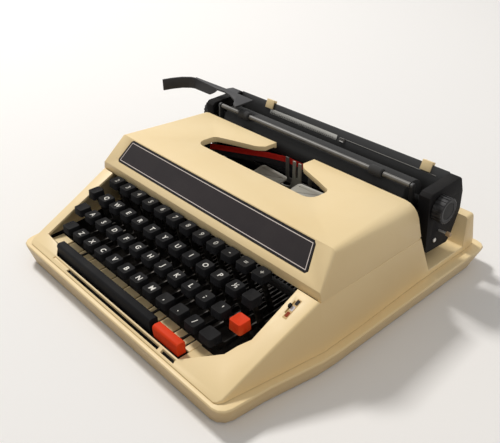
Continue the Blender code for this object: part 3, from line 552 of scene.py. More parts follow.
    def subdivide(self, cuts: int) -> Bench:
        """Subdivide the selection."""
        bpy.ops.mesh.subdivide(number_cuts=cuts)
        return self

    def shape(self, change: Callable[[Vector], Sequence[float]]) -> Bench:
        """Move every corner to where a rule puts it."""
        bm = bmesh.from_edit_mesh(self.piece.data)
        for corner in bm.verts:
            corner.co = change(corner.co)
        bmesh.update_edit_mesh(self.piece.data)
        return self

    def modifier(self, kind: str, **settings: object) -> Bench:
        """Add a modifier and apply it."""
        if bpy.context.object.mode != "OBJECT":
            bpy.ops.object.mode_set(mode="OBJECT")
        step = self.piece.modifiers.new(kind.lower(), kind)
        for label, value in settings.items():
            setattr(step, label, value)
        bpy.ops.object.modifier_apply(modifier=step.name)
        return self

    def done(self, smooth: float = 32.0, place: Matrix = METRES) -> Piece:
        """Finish the piece and put it in its place in metres.

        Args:
            smooth: Edges that turn by less than this many degrees are smoothed.
            place: What takes the piece from the bench to the shared frame.

        Returns:
            The finished object.
        """
        if bpy.context.object.mode != "EDIT":
            bpy.ops.object.mode_set(mode="EDIT")
        bpy.ops.mesh.select_all(action="SELECT")
        bpy.ops.mesh.remove_doubles(threshold=0.0005)
        bpy.ops.mesh.normals_make_consistent(inside=False)
        bpy.ops.object.mode_set(mode="OBJECT")
        self.piece.data.transform(place)
        bpy.ops.object.shade_smooth_by_angle(angle=math.radians(smooth))
        mark_edges(self.piece.data)
        return self.piece


def mark_edges(mesh: bpy.types.Mesh) -> None:
    """Write on each corner how sharply the surface turns outward there, for the rubbed edges."""
    bm = bmesh.new()
    bm.from_mesh(mesh)
    bm.normal_update()
    turns = []
    for corner in bm.verts:
        folds = [edge for edge in corner.link_edges if len(edge.link_faces) == 2]
        angles = [edge.calc_face_angle_signed(0.0) for edge in folds]
        turns.append(min(1.0, max(0.0, (max(angles, default=0.0) - 0.45) / 0.35)))
    bm.free()
    layer = mesh.attributes.get(RUB) or mesh.attributes.new(RUB, "FLOAT", "POINT")
    layer.data.foreach_set("value", turns)


def copied(piece: Piece, name: str, shift: Sequence[float] = (0, 0, 0)) -> Piece:
    """A copy of a finished piece with its own mesh.

    Args:
        piece: The finished piece.
        name: The copy's name.
        shift: How far the copy is moved, in millimetres.

    Returns:
        The copy, in the scene.
    """
    mesh = piece.data.copy()
    mesh.name = name
    mesh.transform(Matrix.Translation(Vector(shift) * 0.001))
    made = bpy.data.objects.new(name, mesh)
    bpy.context.scene.collection.objects.link(made)
    return made


def softened(node: str, width: float, segments: int = 2, angle: float = 28.0) -> Piece:
    """A copy of a solid of the model whose edges are rounded over.

    Args:
        node: The solid's name.
        width: The width of the rounding in millimetres.
        segments: How many facets the rounding has.
        angle: Edges that turn by more than this many degrees are rounded.

    Returns:
        The rounded copy, which replaces the solid.
    """
    Bench.clear()
    made = copied(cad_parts[node], f"{node}_dressed")
    made.data.materials.clear()
    bm = bmesh.new()
    bm.from_mesh(made.data)
    bmesh.ops.remove_doubles(bm, verts=bm.verts, dist=MERGE)
    bmesh.ops.dissolve_limit(bm, angle_limit=FLAT, verts=bm.verts, edges=bm.edges)
    bm.to_mesh(made.data)
    bm.free()
    bpy.context.view_layer.objects.active = made
    made.select_set(True)
    if width:
        bevel = made.modifiers.new("soften", "BEVEL")
        bevel.width = width * 0.001
        bevel.segments = segments
        bevel.limit_method = "ANGLE"
        bevel.angle_limit = math.radians(angle)
        bevel.use_clamp_overlap = True
        bevel.harden_normals = False
        bpy.ops.object.modifier_apply(modifier=bevel.name)
    bpy.ops.object.shade_smooth_by_angle(angle=math.radians(30))
    mark_edges(made.data)
    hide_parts(node)
    return made


def on_slope(start: Sequence[float], rise: Sequence[float]) -> Matrix:
    """From a slope's own plane, as x, up the slope and out of it, to the machine's frame.

    Args:
        start: Where the plane's origin lies.
        rise: A step up the slope.

    Returns:
        The matrix, in millimetres.
    """
    run = Vector(rise).normalized()
    away = Vector((0, -run.z, run.y))
    place = Matrix((Vector((1, 0, 0)), run, away)).transposed().to_4x4()
    place.translation = start
    return place


def belong(pieces: Iterable[Piece], body: str) -> None:
    """Say which body pieces ride on."""
    for piece in pieces:
        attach(piece, body)
        LOG.info("%s rides on %s", piece.name, body)


def dress(rows: Iterable[tuple[str, float, Finish, str, str]]) -> None:
    """Put softened copies in the place of solids of the model.

    Args:
        rows: For each its node, the width of its rounded edges, its finish, its slot and its body.
    """
    for node, width, finish, slot, body in rows:
        made = softened(node, width)
        finish.on(made)
        belong([made], body)


def words(
    text: str, name: str, size: float, thickness: float, place: Matrix,
    drape: Callable[[float, float], float] | None = None,
) -> Piece:
    """Plain lettering as a thin mesh.

    Args:
        text: What it says.
        name: The piece's name.
        size: The letters' size in millimetres.
        thickness: How thick the letters are.
        place: From the lettering's own plane, centred on its origin, to the shared frame.
        drape: How high the ground lies at a place of that plane, where it isn't flat.

    Returns:
        The lettering.
    """
    Bench.clear()
    bpy.ops.object.text_add()
    made = bpy.context.active_object
    made.data.body = text
    made.data.size = size
    made.data.align_x = "CENTER"
    made.data.align_y = "CENTER"
    made.data.extrude = thickness / 2
    made.data.offset = size * 0.022
    made.data.resolution_u = 3
    bpy.ops.object.convert(target="MESH")
    made = bpy.context.active_object
    made.name = name
    made.data.name = name
    if drape:
        for corner in made.data.vertices:
            corner.co.z += drape(corner.co.x, corner.co.y)
    made.data.transform(place)
    return made


@dataclass
class Studio:
    """The pale floor, the lamps and the camera."""

    eye: Triple = (402.5, -192.0, 380.4)
    azimuth: float = 48.331
    elevation: float = 32.326
    roll: float = -1.18
    lens: float = 47.56
    sensor: float = 36.0
    ambient: float = 0.36
    ambient_tint: Triple = (1.0, 0.98, 0.95)
    ground: Triple = (0.93, 0.925, 0.92)
    bounce: Triple = (0.24, 0.19, 0.16)
    floor_size: float = 8.0
    lamps: tuple[tuple[str, Triple, float, float, Triple], ...] = (
        ("key_lamp", (-1.74, 0.14, 2.43), 57.0, 0.50, (1.0, 0.97, 0.93)),
        ("fill_lamp", (2.0, -0.2, 1.2), 7.0, 1.6, (1.0, 0.95, 0.90)),
    )

    def camera(self) -> None:
        """Set the camera where the photograph was taken from."""
        turn, rise, roll = (math.radians(v) for v in (self.azimuth, self.elevation, self.roll))
        back = Vector((math.sin(turn) * math.cos(rise), -math.cos(turn) * math.cos(rise), math.sin(rise)))
        right = (-back).cross(Vector((0, 0, 1))).normalized()
        up = right.cross(-back)
        across = right * math.cos(roll) + up * math.sin(roll)
        above = up * math.cos(roll) - right * math.sin(roll)
        lens = bpy.data.cameras.new("camera")
        lens.lens = self.lens
        lens.sensor_width = self.sensor
        lens.sensor_fit = "HORIZONTAL"
        lens.clip_start = 0.01
        made = bpy.data.objects.new("camera", lens)
        place = Matrix((across, above, back)).transposed().to_4x4()
        place.translation = spot(*self.eye)
        made.matrix_world = place
        bpy.context.scene.collection.objects.link(made)
        bpy.context.scene.camera = made

    def lamp(self, name: str, place: Triple, power: float, size: float, tint: Triple) -> None:
        """Add a soft square lamp that looks at the machine.

        Args:
            name: The lamp's name.
            place: Where it hangs, in metres from the machine's middle.
            power: Its power in watts.
            size: Its width in metres.
            tint: Its colour.
        """
        light = bpy.data.lights.new(name, "AREA")
        light.energy = power
        light.size = size
        light.color = tint
        made = bpy.data.objects.new(name, light)
        made.location = place
        made.rotation_euler = (-Vector(place)).to_track_quat("-Z", "Y").to_euler()
        bpy.context.scene.collection.objects.link(made)

    @staticmethod
    def seen(tree: Tree) -> Socket:
        """1 for what the camera sees, straight, mirrored or through glass, and 0 for spread light."""
        paths = tree.nodes.new("ShaderNodeLightPath")
        straight = paths.outputs["Is Camera Ray"]
        first = Effects.math_node(tree, "MAXIMUM", straight, paths.outputs["Is Transmission Ray"])
        return Effects.math_node(tree, "MAXIMUM", first, paths.outputs["Is Glossy Ray"])

    def world(self) -> None:
        """A dim even light from all round, seen as white."""
        made = bpy.data.worlds.new("studio")
        bpy.context.scene.world = made
        made.use_nodes = True
        tree = made.node_tree
        dim = tree.nodes["Background"]
        dim.inputs["Color"].default_value = (*self.ambient_tint, 1.0)
        dim.inputs["Strength"].default_value = self.ambient
        white = tree.nodes.new("ShaderNodeBackground")
        white.inputs["Color"].default_value = (1.0, 1.0, 1.0, 1.0)
        white.inputs["Strength"].default_value = 1.0
        mixed = tree.nodes.new("ShaderNodeMixShader")
        tree.links.new(self.seen(tree), mixed.inputs[0])
        tree.links.new(dim.outputs[0], mixed.inputs[1])
        tree.links.new(white.outputs[0], mixed.inputs[2])
        tree.links.new(mixed.outputs[0], tree.nodes["World Output"].inputs[0])

    def floor(self) -> None:
        """The pale floor, which takes the machine's shadow and throws little light back at its sides."""
        Bench.clear()
        bpy.ops.mesh.primitive_plane_add(size=self.floor_size, location=(0, 0, 0))
        made = bpy.context.active_object
        made.name = "studio_floor"
        pale = bpy.data.materials.new("studio_floor")
        pale.use_nodes = True
        tree = pale.node_tree
        shader = tree.nodes["Principled BSDF"]
        mixed = tree.nodes.new("ShaderNodeMix")
        mixed.data_type = "RGBA"
        mixed.inputs["A"].default_value = (*self.bounce, 1.0)
        mixed.inputs["B"].default_value = (*self.ground, 1.0)
        tree.links.new(self.seen(tree), mixed.inputs["Factor"])
        tree.links.new(mixed.outputs["Result"], shader.inputs["Base Color"])
        shader.inputs["Roughness"].default_value = 0.9
        made.data.materials.append(pale)

    def build(self) -> None:
        """Set up the view."""
        bpy.context.scene.view_settings.view_transform = "Standard"
        self.camera()
        self.world()
        self.floor()
        for lamp in self.lamps:
            self.lamp(*lamp)
        LOG.info("studio ready")


def paint(piece: Piece, finishes: Sequence[Finish], rule: Callable[[Vector, Vector], int]) -> None:
    """Give a piece several finishes, face by face.

    Args:
        piece: The piece.
        finishes: Its finishes.
        rule: Takes a face's middle and normal and gives the number of its finish.
    """
    piece.data.materials.clear()
    for finish in finishes:
        piece.data.materials.append(finish.material())
    for face in piece.data.polygons:
        face.material_index = rule(face.center, face.normal)


@dataclass
class Shell:
    """The tray and the keyboard housing, with the comb plate that the keys' stems come up through."""

    tray_edge: float = 0.7
    housing_edge: float = 0.8
    rim_top: float = 20.9
    feet: float = 3.0
    slots_x: float = 92.0
    slots_y: tuple[float, float] = (5.2, 12.0)
    comb_low: float = 21.8
    comb_top: float = 23.4
    comb_front: float = 22.6
    comb_rear: float = 35.0
    comb_left: float = -131.0
    comb_right: float = 87.6
    shift_slot: float = -110.7
    slot_wide: float = 2.6
    marks_x: float = 136.1
    slope_foot: Triple = (0.0, 6.4, 23.1)
    slope: float = 0.454
    first_slot: float = -91.7
    key_pitch: float = 19.05
    arms: tuple[float, ...] = (-84.07, 30.2, 72.1)

    def tray_part(self, place: Vector, normal: Vector) -> int:
        """0 on the tray's outside and rim, 1 inside it and in its front slots, which take the painted
        shade.
        """
        x, y, z = place.x * 1000, place.y * 1000 + MIDDLE_Y, place.z * 1000
        front, rear = self.slots_y
        if abs(x) < self.slots_x and front < y < rear and z < self.rim_top:
            return 1
        outward = normal.x * place.x + normal.y * place.y > 0
        underneath = normal.z < -0.9 and z < self.feet
        return int(not (z > self.rim_top or outward or underneath))

    def comb(self) -> list[Piece]:
        """The plate between the bottom row and the bars, cut into teeth by the slots for the stems."""
        slots = [self.first_slot + self.key_pitch * i for i in range(10)]
        stops = sorted([*slots, *self.arms, self.shift_slot])
        sides = [x + side * self.slot_wide / 2 for x in stops for side in (-1, 1)]
        edges = [self.comb_left, *sides, self.comb_right]
        made = []
        for i, (low, high) in enumerate(zip(edges[::2], edges[1::2])):
            if high - low < 1.5:
                continue
            start, end = (low, self.comb_front, self.comb_low), (high, self.comb_rear, self.comb_top)
            bench = Bench.box(f"comb_tooth_{i + 1}", start, end)
            bench.pick("EDGE", lambda middle, way: middle.z > self.comb_top - 0.01).bevel(0.5, 2)
            made.append(bench.done())
        return made

    def build(self) -> None:
        """Round the edges of both shells, give them the cream finish with painted shade inside, and lay the
        comb and the marks.
        """
        tray = softened("base_tray", self.tray_edge)
        housing = softened("keyboard_housing", self.housing_edge)
        # The dark finish on the tray's inside and on the housing's downward faces is painted shade.
        paint(tray, (CREAM, PAINTED_SHADE_INSIDE), self.tray_part)
        paint(housing, (CREAM, PAINTED_SHADE_INSIDE), lambda place, normal: int(normal.z < -0.2))
        comb = self.comb()
        CREAM.on(*comb)
        belong((tray, housing, *comb), "machine")
        self.marks()
        LOG.info("shell dressed")

    def marks(self) -> None:
        """The three colour marks beside the ribbon colour lever, on their pale strip."""
        rise = Vector((0, 1, self.slope))
        place = on_slope(self.slope_foot, rise)
        for name, finish, y, long, wide in (
            ("mark_strip", MARK_GROUND, 85.6, 19.0, 4.2), ("mark_black", MARK_BLACK, 91.4, 4.6, 3.0),
            ("mark_white", MARK_WHITE, 86.0, 4.4, 3.0), ("mark_red", MARK_RED, 80.6, 4.6, 3.0),
        ):
            up = (y - self.slope_foot[1]) / rise.normalized().y
            top = 0.12 if finish is MARK_GROUND else 0.2
            x = self.marks_x
            bench = Bench.box(name, (x - wide / 2, up - long / 2, -0.3), (x + wide / 2, up + long / 2, top))
            bench.uprights().bevel(0.6, 3)
            made = bench.done(place=METRES @ place)
            finish.on(made)
            belong([made], "machine")


@dataclass
class Hood:
    """The ribbon cover with its inlay, which has a dark border and a thin pale line."""

    edge: float = 0.9
    lip_y: float = 101.3
    lip_z: float = 73.2
    ridge_y: float = 123.4
    ridge_z: float = 98.7
    low: float = 7.0
    high: float = 32.4
    wide: float = 131.0
    narrow: float = 124.5
    back: float = -0.9
    face: float = -0.05
    border: float = 2.0
    line: float = 0.65

    def slope(self) -> Matrix:
        """From the cover's sloping face, as x, up the slope and out, to the machine's frame."""
        rise = (0, self.ridge_y - self.lip_y, self.ridge_z - self.lip_z)
        return on_slope((0, self.lip_y, self.lip_z), rise)

    def inlay(self) -> Piece:
        """The panel in the cover's face."""
        wide = self.wide
        bench = Bench.box("inlay_panel", (-wide, self.low, self.back), (wide, self.high, self.face))

        def taper(corner: Vector) -> Triple:
            """Where a place of the plain plate goes."""
            share = (corner.y - self.low) / (self.high - self.low)
            return (corner.x * (1 + (self.narrow / self.wide - 1) * share), corner.y, corner.z)

        bench.shape(taper)
        bench.facing(0, 0, 1).inset(self.border).inset(self.line)
        made = bench.done(place=METRES @ self.slope())
        outward = (METRES @ self.slope()).to_3x3() @ Vector((0, 0, 1))
        outward.normalize()
        back_to = (METRES @ self.slope()).inverted()

        def part_of(centre: Vector, normal: Vector) -> int:
            """0 on the border and the back, 1 on the line, 2 inside it."""
            flat = back_to @ centre
            if normal.dot(outward) < 0.9:
                return 0
            reach = min(flat.y - self.low, self.high - flat.y, self.half_width(flat.y) - abs(flat.x))
            if reach < self.border * 0.8:
                return 0
            return 1 if reach < self.border + self.line else 2

        paint(made, (BORDER, PAINT_LINE, PANEL), part_of)
        return made

    def half_width(self, up: float) -> float:
        """Half the inlay's width at a height up the slope."""
        share = (up - self.low) / (self.high - self.low)
        return self.wide + (self.narrow - self.wide) * share

    def build(self) -> None:
        """Dress the cover and lay the inlay in it."""
        dress([("ribbon_cover", self.edge, CREAM, "cream_plastic", "ribbon_cover")])
        inlay = self.inlay()
        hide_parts("cover_inlay")
        belong([inlay], "ribbon_cover")
        LOG.info("cover dressed")


@dataclass(frozen=True)
class KeyPlan:
    """One key: where its cap stands, how large it is, and what is printed on it."""

    name: str
    x: float
    y: float
    top: float
    legend: str = ""
    width: float = 13.2
    depth: float = 13.2
    height: float = 7.0

    def holds(self, place: Vector) -> bool:
        """Whether a place in metres lies on or in this key's cap."""
        x, y, z = place.x * 1000 - self.x, place.y * 1000 + MIDDLE_Y - self.y, place.z * 1000
        inside = abs(x) < self.width / 2 + 0.1 and abs(y) < self.depth / 2 + 0.1
        return inside and z > self.top - self.height - 0.02


@dataclass
class Keyboard:
    """The keys, each a hollow dished cap on its steel lever with its printed legend."""

    pitch: float = 19.05
    first_x: float = -115.5
    rows: tuple[tuple[float, float], ...] = ((93.9, 67.2), (74.4, 58.9), (54.9, 50.6), (35.4, 42.3))
    corner: float = 2.0
    draw_in: float = 0.45
    wall: float = 1.1
    roof: float = 2.4
    hollow_draw: float = 0.9
    edge: float = 0.5
    stem_reach: float = 2.2
    bar_edge: float = 0.6
    bar_rear: float = 22.0
    dish_depth: float = 0.88
    dish_rise: float = 0.028
    rim: float = 6.15
    rings: tuple[float, ...] = (5.5, 4.7, 3.6, 2.4, 1.1)
    letters: float = 6.9
    cube: Triple = (110.4, 55.7, 51.2)
    patterns: dict[tuple[float, ...], Piece] = field(default_factory=dict)

    def slot(self, number: float) -> float:
        """Where a numbered lever slot lies across the machine."""
        return self.first_x + number * self.pitch / 4

    def dish(self, x: float, y: float) -> float:
        """How far below its rim a cap's top lies at a place, in millimetres."""
        reach = max(abs(x), abs(y))
        return self.dish_rise * reach * reach - self.dish_depth

    def letter_plans(self) -> list[KeyPlan]:
        """Every letter key."""
        special = {"fraction": "½", "semicolon": ";", "apostrophe": "'", "comma": ",", "period": ".",
                   "slash": "/"}
        rows = (
            (1, 2, ("q", "w", "e", "r", "t", "y", "u", "i", "o", "p", "fraction")),
            (2, 3, ("a", "s", "d", "f", "g", "h", "j", "k", "l", "semicolon", "apostrophe")),
            (3, 5, ("z", "x", "c", "v", "b", "n", "m", "comma", "period", "slash")),
        )
        plans = []
        for row, first, names in rows:
            y, top = self.rows[row]
            for i, name in enumerate(names):
                legend = special.get(name, name.upper())
                plans.append(KeyPlan(f"key_{name}", self.slot(first + 4 * i), y, top, legend))
        return plans

    def number_plans(self) -> list[KeyPlan]:
        """The keys of the number row."""
        y, top = self.rows[0]
        return [
            KeyPlan(f"number_{i + 1}", self.slot(4 * i), y, top, legend)
            for i, legend in enumerate("234567890-=+")
        ]

    def cap(self, plan: KeyPlan) -> Piece:
        """A cap whose top lies at z 0, its middle at x 0, y 0, in millimetres.

        Args:
            plan: The key whose sizes it takes.

        Returns:
            The cap, finished but not in its place.
        """
        half_x, half_y = plan.width / 2, plan.depth / 2
        middle = (0, 0, 0)
        bench = Bench.box(f"{plan.name}_cap", (-half_x, -half_y, -plan.height), (half_x, half_y, 0))
        bench.facing(0, 0, 1).scale(1 - self.draw_in / half_x, 1 - self.draw_in / half_y, 1, middle)
        bench.pick("EDGE", lambda place, way: abs(way.z) > 0.8).bevel(self.corner, 4)
        bench.facing(0, 0, 1)
        reach_x, reach_y, depth = half_x - self.draw_in, half_y - self.draw_in, 0.0
        for ring in self.rings:
            next_x = (half_x - self.draw_in) * ring / self.rim
            next_y = (half_y - self.draw_in) * ring / self.rim
            fall = self.dish(ring, 0) - self.dish(self.rings[0], 0)
            bench.step_in(next_x / reach_x, next_y / reach_y, fall - depth, middle)
            reach_x, reach_y, depth = next_x, next_y, fall
        bench.facing(0, 0, -1).step_in(1 - self.wall / half_x, 1 - self.wall / half_y, 0, middle)
        bench.step_in(self.hollow_draw, self.hollow_draw, plan.height - self.roof, middle)
        bench.pick("EDGE", lambda place, way: abs(way.z) < 0.1 and place.z > -0.01 and max(
            abs(place.x) / (half_x - self.draw_in), abs(place.y) / (half_y - self.draw_in)) > 0.92)
        bench.bevel(self.edge, 3)
        return bench.done(smooth=50, place=Matrix.Scale(0.001, 4))

    def levers(self, node: str, plans: Sequence[KeyPlan]) -> Piece:
        """The levers of a node: the model's solid without its caps, each stem reaching up into its cap.

        Args:
            node: The solid's name.
            plans: The keys whose caps it carries.

        Returns:
            The levers, which replace the solid.
        """
        made = copied(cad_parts[node], f"{node}_lever")
        made.data.materials.clear()
        bm = bmesh.new()
        bm.from_mesh(made.data)
        bmesh.ops.remove_doubles(bm, verts=bm.verts, dist=MERGE)
        caps = [face for face in bm.faces if any(plan.holds(face.calc_center_median()) for plan in plans)]
        bmesh.ops.delete(bm, geom=caps, context="FACES")
        rims = [edge for edge in bm.edges if edge.is_boundary]
        grown = bmesh.ops.extrude_edge_only(bm, edges=rims)["geom"]
        corners = [item for item in grown if isinstance(item, bmesh.types.BMVert)]
        bmesh.ops.translate(bm, verts=corners, vec=(0, 0, self.stem_reach * 0.001))
        bmesh.ops.holes_fill(bm, edges=[edge for edge in bm.edges if edge.is_boundary])
        bmesh.ops.dissolve_limit(bm, angle_limit=FLAT, verts=bm.verts, edges=bm.edges)
        bmesh.ops.recalc_face_normals(bm, faces=bm.faces)
        bm.to_mesh(made.data)
        bm.free()
        mark_edges(made.data)
        LEVER_STEEL.on(made)
        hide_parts(node)
        return made

    def legend(self, plan: KeyPlan) -> Piece:
        """The printed legend of a key, laid in the dish of its cap."""
        place = METRES @ Matrix.Translation((plan.x, plan.y, plan.top + 0.06))
        return words(plan.legend, f"{plan.name}_legend", self.letters, 0.12, place, self.dish)

    def dressed(
        self, node: str, plans: Sequence[KeyPlan], colour: Finish, print_colour: Finish
    ) -> None:
        """Caps, legends and levers of one node of the model.

        Args:
            node: The solid's name.
            plans: The keys that it carries.
            colour: What its caps are made of.
            print_colour: What its legends are printed in.
        """
        pieces = [self.levers(node, plans)]
        for plan in plans:
            size = (plan.width, plan.depth, plan.height)
            self.patterns[size] = self.patterns.get(size) or self.cap(plan)
            cap = copied(self.patterns[size], f"{plan.name}_cap", (plan.x, plan.y - MIDDLE_Y, plan.top))
            colour.on(cap)
            pieces.append(cap)
            if plan.legend:
                mark = self.legend(plan)
                print_colour.on(mark)
                pieces.append(mark)
        belong(pieces, node)

    def other_keys(self) -> None:
        """The shift keys with their lock, the margin release, the backspace and the small red key."""
        (high_y, high_top), (lock_y, lock_top), (low_y, low_top) = self.rows[1:]
        shifts = [
            KeyPlan("shift_left", self.slot(1), low_y, low_top),
            KeyPlan("shift_right", self.slot(45), low_y, low_top, width=15.0),
            KeyPlan("shift_lock", self.slot(-1), lock_y, lock_top),
        ]
        release = KeyPlan("margin_release", self.slot(-2), high_y, high_top + 1.0, width=11.5, height=8.0)
        back = KeyPlan("backspace", self.slot(46), high_y, high_top + 1.5, width=12.5, height=8.0)
        cube = KeyPlan("red_tab", *self.cube, width=13.4, depth=13.0, height=9.5)
        self.dressed("shift_keys", shifts, KEY_BLACK, LEGEND)
        self.dressed("margin_release_key", [release], KEY_BLACK, LEGEND)
        self.dressed("backspace_key", [back], KEY_BLACK, LEGEND)
        self.dressed("red_tab_key", [cube], KEY_RED, LEGEND)

    def bar_part(self, place: Vector, normal: Vector) -> int:
        """0 on a bar, 1 on its arms."""
        return int(place.y * 1000 + MIDDLE_Y > self.bar_rear)

    def bars(self) -> None:
        """The space bar and the wide red bar, whose arms are steel."""
        bars = (("space_bar", KEY_BLACK, "black_key"), ("red_tab_bar", KEY_RED, "red_key"))
        for node, finish, slot in bars:
            made = softened(node, self.bar_edge)
            paint(made, (finish, LEVER_STEEL), self.bar_part)
            belong([made], node)

    def build(self) -> None:
        """Every key."""
        for plan in self.letter_plans():
            self.dressed(plan.name, [plan], KEY_BLACK, LEGEND)
        self.dressed("number_row_keys", self.number_plans(), KEY_BLACK, LEGEND_WORN)
        self.other_keys()
        self.bars()
        for pattern in self.patterns.values():
            bpy.data.objects.remove(pattern)
        LOG.info("keys dressed")


@dataclass
class TypeWorks:
    """The frame, the type basket and the ribbon."""

    ribbon_low: float = 66.3
    ribbon_high: float = 78.5
    ribbon_thick: float = 0.2
    print_y: float = 234.0
    shield_x: tuple[float, float] = (7.5, 44.0)
    shield_y: tuple[float, float] = (206.0, 226.0)
    shield_z: tuple[float, float] = (57.0, 58.2)
    shield_rise: float = 0.16
    shield_lift: float = 0.05
    post_places: tuple[tuple[float, float], ...] = ((14.0, 210.5), (25.0, 219.5))
    post_foot: float = 47.6
    post_height: float = 10.6
    post_radius: float = 1.1

    def ribbon_route(self) -> list[tuple[float, float]]:
        """The ribbon's route seen from above, from the left spool to the right one."""
        half = [(17.5, self.print_y + 0.4), (40, 227), (70, 212), (95, 199.5), (101, 195.8)]
        return [(-x, y) for x, y in reversed(half)] + half

    def ribbon(self) -> Piece:
        """The two-colour ribbon, red over black, as one thin strip."""
        route = self.ribbon_route()
        (x, y), (next_x, next_y) = route[0], route[1]
        low, high = self.ribbon_low, self.ribbon_high
        corners = [(x, y, low), (next_x, next_y, low), (next_x, next_y, high), (x, y, high)]
        bench = Bench.sheet("ribbon_strip", corners)
        for (x, y), (next_x, next_y) in zip(route[1:], route[2:]):
            bench.pick("EDGE", lambda middle, way, x=x, y=y: abs(way.z) > 0.9 and abs(middle.x - x) < 0.01)
            bench.extrude(next_x - x, next_y - y, 0)
        bench.uprights().subdivide(1)
        bench.modifier("SOLIDIFY", thickness=self.ribbon_thick, offset=0.0)
        made = bench.done(smooth=60)
        middle = (self.ribbon_low + self.ribbon_high) / 2 * 0.001
        paint(made, (RIBBON_BLACK, RIBBON_RED), lambda centre, normal: 0 if centre.z < middle else 1)
        return made

    def tilted(self, place: Vector) -> Triple:
        """Where a place of a level shield goes: they rise to the rear and to the sides."""
        rise = (place.y - self.shield_y[0]) * self.shield_rise + abs(place.x) * self.shield_lift
        return (place.x, place.y, place.z + rise)

    def shields(self) -> list[Piece]:
        """The two bright shields beside the printing point, each on two posts on the segment."""
        made = []
        for side, name in ((-1, "left"), (1, "right")):
            low, high = sorted(side * x for x in self.shield_x)
            corners = zip((low, high), self.shield_y, self.shield_z)
            bench = Bench.box(f"shield_{name}", *corners)
            bench.uprights().bevel(4.0, 4)
            bench.facing(0, 0, 1).inset(1.2, -0.3).inset(1.5, 0.0).inset(2.0, 0.5)
            bench.shape(self.tilted)
            made.append(bench.done())
            for i, (x, y) in enumerate(self.post_places):
                post = Bench.drum(
                    f"shield_{name}_post_{i + 1}", (side * x, y, self.post_foot), "Z",
                    self.post_height, self.post_radius, 14,
                )
                post.facing(0, 0, 1).inset(0.2, 0.2)
                made.append(post.done())
        TYPE_STEEL.on(*made)
        return made

    def build(self) -> None:
        """Dress the works."""
        belong(self.shields(), "machine")
        dress((
            ("main_frame", 0.3, ENAMEL, "black_enamel", "machine"),
            ("type_basket", 0.0, TYPE_STEEL, "dark_steel", "machine"),
            ("typebar_h", 0.0, STEEL, "bright_steel", "typebar_h"),
            ("ribbon_vibrator", 0.2, SATIN_STEEL, "bright_steel", "ribbon_vibrator"),
            ("ribbon_spool_left", 0.3, ENAMEL, "black_enamel", "ribbon_spool_left"),
            ("ribbon_spool_right", 0.3, ENAMEL, "black_enamel", "ribbon_spool_right"),
            ("color_selector", 0.4, KEY_BLACK, "black_key", "color_selector"),
        ))
        ribbon = self.ribbon()
        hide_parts("ink_ribbon")
        belong([ribbon], "machine")
        LOG.info("works dressed")


